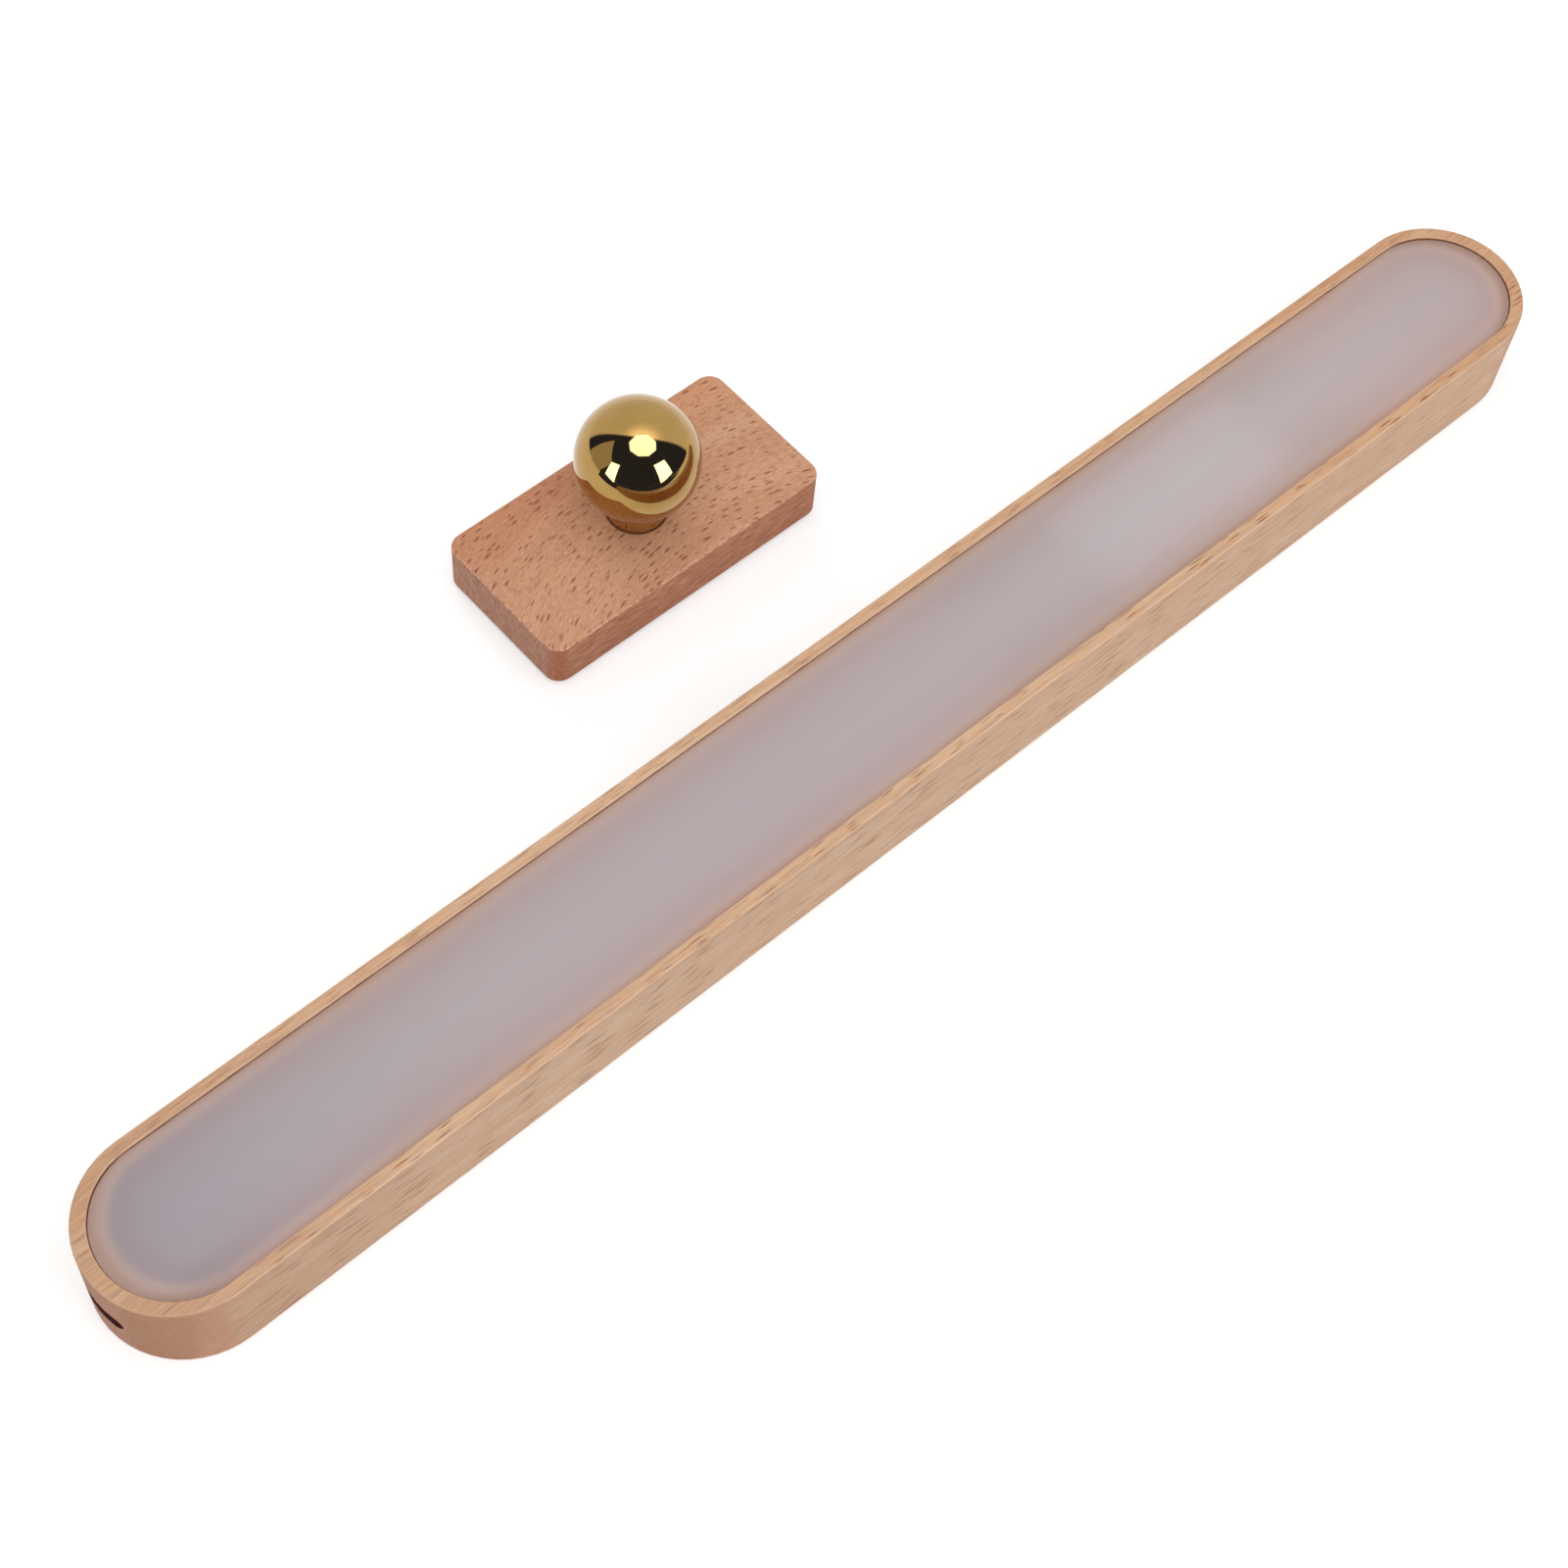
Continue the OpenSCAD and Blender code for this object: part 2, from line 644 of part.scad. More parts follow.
module magnet_dish() {
    color(steel) on_bar() translate([seat_x, 0, 0]) difference() {
        union() {
            cylinder(h = seat_t, d = seat_d);
            cylinder(h = seat_t + magnet_t, d = seat_stem_d);
        }
        translate([0, 0, -seat_lift]) sphere(r = seat_sphere_r);
        translate([0, 0, seat_t]) cylinder(h = magnet_t + cut, d = seat_screw_d + 2 * thread_fit);
    }
}

module ring_magnet() {
    color(nickel) on_bar() translate([seat_x, 0, seat_t]) difference() {
        cylinder(h = magnet_t, d = seat_d);
        translate([0, 0, -cut]) cylinder(h = magnet_t + 2 * cut, d = seat_stem_d + 2 * seat_fit);
    }
}

module dish_washer() {
    color(steel) on_bar() translate([seat_x, 0, seat_top]) difference() {
        cylinder(h = seat_washer_t, d = seat_washer_d);
        translate([0, 0, -cut]) cylinder(h = seat_washer_t + 2 * cut, d = seat_screw_d + 2 * shank_gap);
    }
}

module dish_screw() {
    color(steel) on_bar() translate([seat_x, 0, seat_top + seat_washer_t])
        pan_screw(seat_screw_d, seat_washer_t + seat_roof + seat_fit + magnet_t - stack_gap,
                  seat_head_d, seat_head_h);
}

module power_button() {
    face_l = button_x - flange_back;
    color(gold) on_bar() translate([flange_back, 0, button_z]) rotate([0, 90, 0]) union() {
        cylinder(h = face_l - button_edge_r, d = button_d);
        rotate_extrude() edge_section(button_d / 2, face_l, button_edge_r);
        cylinder(h = button_flange_t, r = flange_r);
        translate([0, 0, -plunger_l]) cylinder(h = plunger_l + cut, d = plunger_d);
    }
}

module button_switch() {
    color(black_plastic) on_bar() difference() {
        block(switch_back, -switch_side / 2, button_z - switch_side / 2,
              [switch_l, switch_side, switch_side]);
        rod_x(switch_x - switch_bore_l, switch_bore_l + cut, 0, button_z, plunger_d + 2 * running_fit);
    }
}

module switch_board() {
    color(green_board) on_bar()
        block(switch_board_x, -switch_board_w / 2, back_t,
              [switch_board_t, switch_board_w, board_z - back_t]);
}

module switch_leads() {
    color("dimgray") on_bar() for (y = [switch_lead_y1, switch_lead_y2])
        rod_x(control_end, switch_board_x - control_end, y, switch_lead_z, switch_lead_d);
}

wall_plate();
adhesive_pad();
ball_stud();
post_washer();
post_screw();
bar_housing();
diffuser();
led_board();
led_chips();
board_screws();
battery_cells();
battery_cradle();
battery_tabs();
battery_leads();
control_board();
control_chips();
control_screws();
board_header();
usb_shell();
usb_tongue();
magnet_dish();
ring_magnet();
dish_washer();
dish_screw();
power_button();
button_switch();
switch_board();
switch_leads();
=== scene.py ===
"""Looks of the wooden vanity light: its camera, studio and materials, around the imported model."""

import json
import math

import bpy
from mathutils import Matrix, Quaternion, Vector


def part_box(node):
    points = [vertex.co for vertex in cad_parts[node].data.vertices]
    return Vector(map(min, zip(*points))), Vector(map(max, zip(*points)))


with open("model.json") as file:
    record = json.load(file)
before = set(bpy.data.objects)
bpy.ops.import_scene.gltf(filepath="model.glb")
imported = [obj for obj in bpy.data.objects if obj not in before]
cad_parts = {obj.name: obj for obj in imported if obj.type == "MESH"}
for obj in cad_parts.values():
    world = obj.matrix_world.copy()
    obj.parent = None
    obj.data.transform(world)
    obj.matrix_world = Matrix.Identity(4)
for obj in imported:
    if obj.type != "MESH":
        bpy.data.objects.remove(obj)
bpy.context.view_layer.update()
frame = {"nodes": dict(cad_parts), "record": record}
nodes = frame["nodes"]
scene = bpy.context.scene

# One millimetre in the scene's metres; the materials measure places in millimetres
MM = 0.001
WHITE = (1, 1, 1, 1)


def centre_of(node):
    low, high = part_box(node)
    return (low + high) / 2


def half_size(node):
    low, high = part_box(node)
    return (high - low) / 2


def direction(azimuth, elevation):
    """Unit vector towards a place in the studio; azimuth 0 lies on the -Y side, as in the views."""
    a = math.radians(azimuth)
    e = math.radians(elevation)
    return Vector((math.sin(a) * math.cos(e), -math.cos(a) * math.cos(e), math.sin(e)))


def srgb(red, green, blue):
    """Colour from screen values of 0 to 255, as linear red, green, blue and alpha."""
    def linear(value):
        share = value / 255
        return share / 12.92 if share <= 0.04045 else ((share + 0.055) / 1.055) ** 2.4
    return (linear(red), linear(green), linear(blue), 1.0)


def darker(tone, share):
    """The same colour at this share of its brightness."""
    return tuple(share * part for part in tone[:3]) + (1,)


# Camera: angles in degrees, lens and sensor in millimetres

CAMERA_AZIMUTH = -47.735
CAMERA_ELEVATION = 58.754
CAMERA_ROLL = 6.97
CAMERA_DISTANCE = 610.4 * MM
CAMERA_AIM = Vector((-16.7, -70.0, 0)) * MM
CAMERA_LENS = 64.12
CAMERA_SENSOR = 36
CAMERA_CLIP_START = 10 * MM
CAMERA_CLIP_END = 20


def make_camera():
    data = bpy.data.cameras.new("camera")
    data.lens = CAMERA_LENS
    data.sensor_width = CAMERA_SENSOR
    data.clip_start = CAMERA_CLIP_START
    data.clip_end = CAMERA_CLIP_END
    camera = bpy.data.objects.new("camera", data)
    back = direction(CAMERA_AZIMUTH, CAMERA_ELEVATION)
    camera.location = CAMERA_AIM + back * CAMERA_DISTANCE
    camera.rotation_mode = "QUATERNION"
    level = (-back).to_track_quat("-Z", "Y")
    camera.rotation_quaternion = level @ Quaternion((0, 0, 1), math.radians(CAMERA_ROLL))
    scene.collection.objects.link(camera)
    bpy.context.scene.camera = camera


# Node trees

class Graph:
    """A node tree with short calls for the nodes that the materials use."""

    def __init__(self, tree):
        self.tree = tree

    def node(self, kind, inputs=None, **settings):
        made = self.tree.nodes.new("ShaderNode" + kind)
        for name, value in settings.items():
            setattr(made, name, value)
        for socket, value in (inputs or {}).items():
            self.put(made.inputs[socket], value)
        return made

    def put(self, socket, value):
        """Links the socket to another node's output, or sets its value."""
        if isinstance(value, bpy.types.NodeSocket):
            self.tree.links.new(value, socket)
        else:
            socket.default_value = value

    def math(self, operation, a, b=0.0):
        return self.node("Math", {0: a, 1: b}, operation=operation).outputs[0]

    def product(self, *shares):
        made = shares[0]
        for share in shares[1:]:
            made = self.math("MULTIPLY", made, share)
        return made

    def rest_of(self, share):
        return self.math("SUBTRACT", 1, share)

    def vector(self, operation, a, b=(0, 0, 0)):
        return self.node("VectorMath", {0: a, 1: b}, operation=operation).outputs[0]

    def dot(self, a, b):
        return self.node("VectorMath", {0: a, 1: b}, operation="DOT_PRODUCT").outputs[1]

    def length(self, vector):
        return self.node("VectorMath", {0: vector}, operation="LENGTH").outputs[1]

    def parts(self, vector):
        made = self.node("SeparateXYZ", {0: vector})
        return made.outputs[0], made.outputs[1], made.outputs[2]

    def join(self, x, y, z):
        return self.node("CombineXYZ", {0: x, 1: y, 2: z}).outputs[0]

    def span(self, value, low, high, at_low=0.0, at_high=1.0, smooth=True):
        """Value carried from low..high to at_low..at_high, and held there outside."""
        kind = "SMOOTHSTEP" if smooth else "LINEAR"
        inputs = {0: value, 1: low, 2: high, 3: at_low, 4: at_high}
        return self.node("MapRange", inputs, interpolation_type=kind, clamp=True).outputs[0]

    def fade(self, value, low, high):
        """1 up to low, 0 from high on, and smooth between them."""
        return self.span(value, low, high, 1.0, 0.0)

    def weight(self, share, at_none, at_all, smooth=True):
        """Number that goes with a share of 0 to 1."""
        return self.span(share, 0, 1, at_none, at_all, smooth)

    def mix(self, share, a, b, blend="MIX"):
        return self.node("Mix", {0: share, 6: a, 7: b}, data_type="RGBA", blend_type=blend).outputs[2]

    def tint(self, share, colour, factors):
        """Colour multiplied by the factors for red, green and blue, as far as the share goes."""
        return self.mix(share, colour, factors, blend="MULTIPLY")

    def ramp(self, value, stops):
        made = self.node("ValToRGB", {0: value})
        elements = made.color_ramp.elements
        while len(elements) < len(stops):
            elements.new(1.0)
        for element, (position, colour) in zip(elements, stops):
            element.position = position
            element.color = colour
        return made.outputs[0]

    def noise(self, vector, detail=2.0, roughness=0.5, scale=1.0):
        inputs = {"Vector": vector, "Scale": scale, "Detail": detail, "Roughness": roughness}
        return self.node("TexNoise", inputs).outputs[0]

    def spots(self, place, density, **settings):
        """Noise with this many spots to the millimetre along X, Y and Z."""
        return self.noise(self.vector("MULTIPLY", place, density), **settings)

    def streaks(self, place, length, width, shift=(0, 0, 0), **settings):
        """Noise drawn out along X: a streak is about this long and wide, in millimetres."""
        drawn = self.vector("MULTIPLY", place, (1 / length, 1 / width, 1 / width))
        return self.noise(self.vector("ADD", drawn, shift), **settings)

    def cells(self, vector, exponent):
        """Distance to the nearest of a set of scattered points, and a random colour for each point."""
        inputs = {"Vector": vector, "Scale": 1.0, "Exponent": exponent, "Randomness": 1.0}
        made = self.node("TexVoronoi", inputs, distance="MINKOWSKI", voronoi_dimensions="2D")
        return made.outputs["Distance"], made.outputs["Color"]

    def place(self):
        """Place on the piece at rest, in millimetres in the model's frame."""
        coordinates = self.node("TexCoord").outputs["Object"]
        return self.vector("MULTIPLY", coordinates, (1 / MM, 1 / MM, 1 / MM))

    def facing(self):
        """The surface's own direction on the piece at rest."""
        return self.node("TexCoord").outputs["Normal"]

    def bump(self, height, depth, strength):
        inputs = {"Strength": strength, "Distance": depth, "Height": height}
        return self.node("Bump", inputs).outputs[0]


def new_material(name, **constants):
    """A Principled material; the constants are set on the shader's own sockets."""
    material = bpy.data.materials.new(name)
    material.use_nodes = True
    shader = material.node_tree.nodes["Principled BSDF"]
    for socket, value in constants.items():
        shader.inputs[socket.replace("_", " ")].default_value = value
    return material, Graph(material.node_tree), shader


def emission_material(name):
    """A material with nothing in it but its output, for a studio piece."""
    material = bpy.data.materials.new(name)
    material.use_nodes = True
    tree = material.node_tree
    tree.nodes.clear()
    graph = Graph(tree)
    return material, graph, graph.node("OutputMaterial")


# Studio: distances and sizes in metres, angles in degrees seen from the ball

STUDIO_CENTRE = centre_of("ball_stud")
STUDIO_RADIUS = 2.4
SHELL_RINGS = 24
SHELL_TURNS = 64
WORLD_LIGHT = 0.44

FLOOR_HALF = 5.0
FLOOR_DROP = 0.2 * MM
FLOOR_TONE = 0.70
# Brightness added to the floor as it is seen, close to the object and far from it, and where that changes
FLOOR_LIFT = 0.48
FLOOR_LIFT_FAR = 0.70
FLOOR_NEAR = 0.4
FLOOR_FAR = 1.6

DARK_ROOM = (0.038, 0.046, 0.11, 1)
BACKDROP_GLOW = 1.0
# Where the dark room ends, at the floor and overhead, in shell radii towards the camera's side
ROOM_END_LOW = -0.35
ROOM_END_HIGH = -0.02
ROOM_END_POWER = 1.6
ROOM_EDGE = (-0.02, 0.06)
# How much brighter the backdrop is round the top softbox, and the angles from it between which that fades
SPILL = 1.1
SPILL_FROM = math.cos(math.radians(51))
SPILL_TO = math.cos(math.radians(24))
SPILL_POWER = 3

TOP_BOX = {"azimuth": -13, "elevation": 74, "distance": 1.2}
LEFT_BOX = {"azimuth": -88, "elevation": 15.8, "distance": 1.4}
RIGHT_BOX = {"azimuth": 7, "elevation": 18.5, "distance": 1.4}
BACK_BOX = {"azimuth": 160, "elevation": 28, "distance": 1.4}
TOP_OCTAGON = {"width": 1.0, "height": 0.815, "turn": -22}
OCTAGON_SIDES = 8
# Corners of the other cards, as azimuths and elevations
LEFT_CORNERS = [(-96.5, 27.8), (-79.2, 32.0), (-78.9, -1.1), (-96.8, 4.6)]
RIGHT_CORNERS = [(-6.5, 35.4), (18.1, 32.7), (19.7, 5.6), (-3.3, 0.2)]
REFLECTOR_CORNERS = [(-140.8, 1.7), (-131.4, 49.7), (-94.3, 25.1), (-108.6, -0.4), (-126.4, -0.5)]
REFLECTOR_DISTANCE = 1.6
# Outline of the floor's dark part, in millimetres
DARK_FLOOR = [(-300, 90), (-190, -50), (-190, -125), (-162, -210), (-63, -215), (30, -257),
              (900, -1250), (900, -5000), (-5000, -5000), (-5000, 1500)]
SOFTBOX_TINT = (0.55, 0.66, 1.0, 1)
REFLECTOR_TINT = (1, 0.97, 0.92, 1)
TOP_GLOW = 6.0
SIDE_GLOW = 8.6
REFLECTOR_GLOW = 0.62
DARK_FLOOR_GLOW = 1.0
# Lamps: width of the disk, and power in watts
TOP_LAMP = {"size": 1.5, "power": 6.8}
LEFT_LAMP = {"size": 0.6, "power": 2.6}
RIGHT_LAMP = {"size": 0.7, "power": 4.3}
BACK_LAMP = {"size": 0.7, "power": 3.2}


def reflected_only(obj):
    """A studio piece that only mirror-like surfaces see."""
    obj.visible_camera = False
    obj.visible_diffuse = False
    obj.visible_transmission = False
    obj.visible_volume_scatter = False
    obj.visible_shadow = False


def new_mesh(name, points, faces):
    mesh = bpy.data.meshes.new(name)
    mesh.from_pydata([tuple(p) for p in points], [], faces)
    mesh.update()
    made = bpy.data.objects.new(name, mesh)
    scene.collection.objects.link(made)
    return made


def seen_share(graph):
    """1 for camera, mirror and see-through rays, 0 for the light that falls on the object."""
    rays = graph.node("LightPath").outputs
    seen = graph.math("MAXIMUM", rays["Is Camera Ray"], rays["Is Glossy Ray"])
    return graph.math("MAXIMUM", seen, rays["Is Transmission Ray"])


def make_world():
    world = bpy.data.worlds.new("studio")
    scene.world = world
    world.use_nodes = True
    graph = Graph(world.node_tree)
    shade = world.node_tree.nodes["Background"]
    strength = graph.weight(seen_share(graph), WORLD_LIGHT, 1.0, smooth=False)
    shade.inputs["Color"].default_value = WHITE
    graph.put(shade.inputs["Strength"], strength)


def make_floor():
    signs = [(-1, -1), (1, -1), (1, 1), (-1, 1)]
    corners = [(x * FLOOR_HALF, y * FLOOR_HALF, -FLOOR_DROP) for x, y in signs]
    floor = new_mesh("floor", corners, [(0, 1, 2, 3)])
    material, graph, output = emission_material("pale_floor")
    paper = graph.node("BsdfDiffuse", {"Color": (FLOOR_TONE, FLOOR_TONE, FLOOR_TONE, 1)})
    away = graph.length(graph.node("TexCoord").outputs["Object"])
    lift = graph.span(away, FLOOR_NEAR, FLOOR_FAR, FLOOR_LIFT, FLOOR_LIFT_FAR)
    lift = graph.math("MULTIPLY", seen_share(graph), lift)
    glow = graph.node("Emission", {"Color": WHITE, "Strength": lift})
    both = graph.node("AddShader", {0: paper.outputs[0], 1: glow.outputs[0]})
    graph.put(output.inputs["Surface"], both.outputs[0])
    floor.data.materials.append(material)


def shell_mesh():
    """Half a ball of rings round the studio's centre, closed by one point at the top."""
    rings = range(SHELL_RINGS)
    turns = range(SHELL_TURNS)
    points = [STUDIO_CENTRE + STUDIO_RADIUS * direction(360 * t / SHELL_TURNS, 90 * r / SHELL_RINGS)
              for r in rings for t in turns]
    points.append(STUDIO_CENTRE + STUDIO_RADIUS * Vector((0, 0, 1)))
    beside = [(t + 1) % SHELL_TURNS for t in turns]
    faces = [(r * SHELL_TURNS + t, r * SHELL_TURNS + beside[t],
              (r + 1) * SHELL_TURNS + beside[t], (r + 1) * SHELL_TURNS + t)
             for r in rings[:-1] for t in turns]
    last = rings[-1] * SHELL_TURNS
    faces += [(last + t, last + beside[t], len(points) - 1) for t in turns]
    return new_mesh("studio_shell", points, faces)


def make_studio_shell():
    """Dome that the gilding mirrors: a dark room on the camera's side and a pale backdrop beyond."""
    dome = shell_mesh()
    material, graph, output = emission_material("studio_shell")
    place = graph.node("TexCoord").outputs["Object"]
    outward = graph.vector("NORMALIZE", graph.vector("SUBTRACT", place, tuple(STUDIO_CENTRE)))
    towards_front = graph.dot(outward, tuple(direction(CAMERA_AZIMUTH, 0)))
    height = graph.math("POWER", graph.math("MAXIMUM", graph.parts(outward)[2], 0), ROOM_END_POWER)
    room_end = graph.weight(height, ROOM_END_LOW, ROOM_END_HIGH, smooth=False)
    room = graph.span(graph.math("SUBTRACT", towards_front, room_end), *ROOM_EDGE)
    towards_top = graph.dot(outward, tuple(direction(TOP_BOX["azimuth"], TOP_BOX["elevation"])))
    spill = graph.span(towards_top, SPILL_FROM, SPILL_TO, smooth=False)
    spill = graph.math("MULTIPLY", graph.math("POWER", spill, SPILL_POWER), SPILL)
    backdrop = graph.math("ADD", spill, BACKDROP_GLOW)
    # In the dark room the strength is 1, and the colour is the room's own
    change = graph.math("MULTIPLY", room, graph.rest_of(backdrop))
    strength = graph.math("ADD", backdrop, change)
    colour = graph.mix(room, WHITE, DARK_ROOM)
    light = graph.node("Emission", {"Color": colour, "Strength": strength})
    graph.put(output.inputs["Surface"], light.outputs[0])
    dome.data.materials.append(material)
    reflected_only(dome)


def make_card(name, points, glow, tint):
    """Flat softbox, reflector or dark cloth that only mirrors see."""
    card = new_mesh(name, points, [tuple(range(len(points)))])
    material, graph, output = emission_material(name)
    light = graph.node("Emission", {"Color": tint, "Strength": glow})
    graph.put(output.inputs["Surface"], light.outputs[0])
    card.data.materials.append(material)
    reflected_only(card)


def corner_points(corners, distance):
    """Points at one distance from the ball, from their azimuths and elevations."""
    return [STUDIO_CENTRE + direction(azimuth, elevation) * distance for azimuth, elevation in corners]


def octagon_points(azimuth, elevation, distance, width, height, turn):
    """Corners of an eight-sided softbox that faces the ball, turned round its own axis."""
    towards = direction(azimuth, elevation)
    level = Vector((0, 0, 1)).cross(towards).normalized()
    across = Quaternion(towards, math.radians(turn)) @ level
    upward = towards.cross(across)
    reach = 1 / math.cos(math.pi / OCTAGON_SIDES)
    points = []
    for i in range(OCTAGON_SIDES):
        a = 2 * math.pi * (i + 0.5) / OCTAGON_SIDES
        points.append(STUDIO_CENTRE + towards * distance
                      + across * (width / 2 * reach * math.cos(a))
                      + upward * (height / 2 * reach * math.sin(a)))
    return points


def make_lamp(name, azimuth, elevation, distance, size, power):
    """Soft lamp that lights the object; mirrors don't see it."""
    data = bpy.data.lights.new(name, "AREA")
    data.shape = "DISK"
    data.size = size
    data.energy = power
    lamp = bpy.data.objects.new(name, data)
    towards = direction(azimuth, elevation)
    lamp.location = STUDIO_CENTRE + towards * distance
    lamp.rotation_mode = "QUATERNION"
    lamp.rotation_quaternion = (-towards).to_track_quat("-Z", "Y")
    lamp.visible_glossy = False
    lamp.visible_camera = False
    scene.collection.objects.link(lamp)


def make_studio():
    make_world()
    make_floor()
    make_studio_shell()
    left = corner_points(LEFT_CORNERS, LEFT_BOX["distance"])
    right = corner_points(RIGHT_CORNERS, RIGHT_BOX["distance"])
    reflector = corner_points(REFLECTOR_CORNERS, REFLECTOR_DISTANCE)
    dark = [Vector((x, y, 0)) * MM - Vector((0, 0, FLOOR_DROP / 2)) for x, y in DARK_FLOOR]
    make_card("top_softbox", octagon_points(**TOP_BOX, **TOP_OCTAGON), TOP_GLOW, SOFTBOX_TINT)
    make_card("left_softbox", left, SIDE_GLOW, SOFTBOX_TINT)
    make_card("right_softbox", right, SIDE_GLOW, SOFTBOX_TINT)
    make_card("left_reflector", reflector, REFLECTOR_GLOW, REFLECTOR_TINT)
    make_card("dark_floor", dark, DARK_FLOOR_GLOW, DARK_ROOM)
    make_lamp("top_lamp", **TOP_BOX, **TOP_LAMP)
    make_lamp("left_lamp", **LEFT_BOX, **LEFT_LAMP)
    make_lamp("right_lamp", **RIGHT_BOX, **RIGHT_LAMP)
    make_lamp("back_lamp", **BACK_BOX, **BACK_LAMP)


# Places that the materials use. The bar's near end, with the charging slot, is at -X, and its far end at +X.

BAR = centre_of("bar_housing")
BAR_MIDDLE = BAR.y / MM
BAR_HALF_RUN = half_size("bar_housing").x - half_size("bar_housing").y
RIM_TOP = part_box("bar_housing")[1].z / MM
DIFFUSER_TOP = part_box("diffuser")[1].z / MM
DIFFUSER_HALF = half_size("diffuser").x / MM
DIFFUSER_RADIUS = half_size("diffuser").y / MM
DIFFUSER_HALF_RUN = DIFFUSER_HALF - DIFFUSER_RADIUS
PORT = centre_of("usb_shell")
PLATE_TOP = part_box("wall_plate")[1].z / MM
# The charging slot's half run and end radius, and the radius of the ball's neck, in millimetres
SLOT_HALF_RUN = 4.3
SLOT_RADIUS = 2.35
NECK_RADIUS = 7.0


def across_bar(low, high):
    """Two places across the bar, given from its middle, carried into the model's frame."""
    return BAR_MIDDLE + low, BAR_MIDDLE + high


def run_distance(graph, along, across, half_run):
    """Distance from a straight stretch: along and across are measured from its middle."""
    past = graph.math("MAXIMUM", graph.math("SUBTRACT", graph.math("ABSOLUTE", along), half_run), 0)
    squares = graph.math("ADD", graph.math("MULTIPLY", past, past), graph.math("MULTIPLY", across, across))
    return graph.math("SQRT", squares)


def bar_distance(graph, place, half_run):
    """Distance in millimetres from the bar's middle line, seen from the front."""
    x, y, _ = graph.parts(graph.vector("SUBTRACT", place, tuple(BAR / MM)))
    return run_distance(graph, x, y, half_run)


# Wood. Spans are written as two values of what they follow, such as a noise, a place or a facing,
# and what they give at each of these where that isn't 0 and 1. Lengths are in millimetres.

WOOD_FINISH = {"IOR": 1.45, "Specular_IOR_Level": 0.28}
# Dashes: how slim their ends are, their smallest and largest reach in a cell, where they fade out,
# and how softly the cells that have one are chosen
DASH_EXPONENT = 1.35
DASH_REACH = (0.13, 0.27)
DASH_FADE = (0.55, 1.15)
DASH_SOFTNESS = 0.1
# The rounded top edge that gets a painted highlight, and on the plate dark worn bits too: how far its faces
# point up, and how far below the top it begins and is full
HIGHLIGHT_WEAR_FROM = (0.12, 0.40)
HIGHLIGHT_WEAR_TO = (0.86, 0.98)
HIGHLIGHT_WEAR_START = 0.9
HIGHLIGHT_WEAR_FULL = 0.5


class Surface:
    """A point of a wooden piece: its place, where it faces, and how far it counts as top and as end."""

    def __init__(self, graph, top_faces, end_faces):
        self.place = graph.place()
        self.x, self.y, self.z = graph.parts(self.place)
        self.normal = graph.parts(graph.facing())
        self.facing = [graph.math("ABSOLUTE", part) for part in self.normal]
        self.top = graph.span(self.facing[2], *top_faces)
        self.end = graph.span(self.facing[0], *end_faces)


def dashes(graph, along, across, length, width, share, shift):
    """Short dark dashes along the grain, in cells of this length and width; share of the cells have one."""
    spot = graph.join(graph.math("DIVIDE", along, length), graph.math("DIVIDE", across, width), 0.0)
    distance, chance = graph.cells(graph.vector("ADD", spot, shift), DASH_EXPONENT)
    draw, size, _ = graph.parts(chance)
    reach = graph.weight(size, *DASH_REACH, smooth=False)
    inside = graph.fade(graph.math("DIVIDE", distance, reach), *DASH_FADE)
    limit = 1 - share
    return graph.product(inside, graph.span(draw, limit - DASH_SOFTNESS, limit + DASH_SOFTNESS))


def highlight_and_wear_edge(graph, on, top):
    """1 on the rounded edges just under the top face, where the painted edge highlight goes."""
    facing_up = on.facing[2]
    rounded = graph.product(graph.span(facing_up, *HIGHLIGHT_WEAR_FROM), graph.fade(facing_up, *HIGHLIGHT_WEAR_TO))
    return graph.product(rounded, graph.span(on.z, top - HIGHLIGHT_WEAR_START, top - HIGHLIGHT_WEAR_FULL))


# Pale beech of the bar

PALE_TOP_FACES = (0.2, 0.8)
PALE_END_FACES = (0.06, 0.26)
PALE_STREAKS = {
    "sway": {"length": 75, "width": 16, "shift": (5, 1, 2), "detail": 1},
    "broad": {"length": 110, "width": 6, "detail": 3},
    "stripe": {"length": 40, "width": 1.2, "shift": (2, 6, 4)},
    "fibre": {"length": 9, "width": 0.5, "shift": (3, 7, 1), "detail": 3, "roughness": 0.6},
    "blush": {"length": 24, "width": 2.4, "shift": (9, 3, 7)},
}
PALE_SPECKLE = {"density": (0.8, 0.8, 2.4), "detail": 3, "roughness": 0.65}
PALE_SWAY = 2
PALE_PORES = {"length": 15.0, "width": 1.2, "share": 0.6, "shift": (3, 1, 0)}
PALE_FLECKS = {"length": 10.5, "width": 0.8, "share": 0.45, "shift": (7, 5, 0)}
PALE_TONES = {
    "top light": srgb(222, 184, 148),
    "top dark": srgb(215, 172, 134),
    "side light": srgb(217, 184, 153),
    "side dark": srgb(212, 175, 144),
    "blush": srgb(219, 167, 134),
    "stripe": srgb(190, 143, 106),
    "fibre": srgb(176, 131, 97),
    "pore": srgb(150, 102, 68),
    "fleck": srgb(146, 86, 48),
    "end side": srgb(198, 145, 113),
    # The end middle tone is painted light: the round ends are paler where they face straight along the bar
    "end middle": srgb(212, 161, 133),
    "end dark spot": srgb(180, 124, 93),
    "end pale spot": srgb(214, 165, 134),
    # Tone of the painted highlight on the bar's rounded top edges
    "highlight_and_wear": srgb(240, 206, 174),
    # Tones of the painted shade on the walls inside the rim, deeper at the round ends
    "milled": srgb(176, 122, 88),
    "milled end": srgb(130, 76, 48),
    # Tone of the painted shadow inside the charging slot
    "slot_shadow": srgb(84, 38, 22),
}
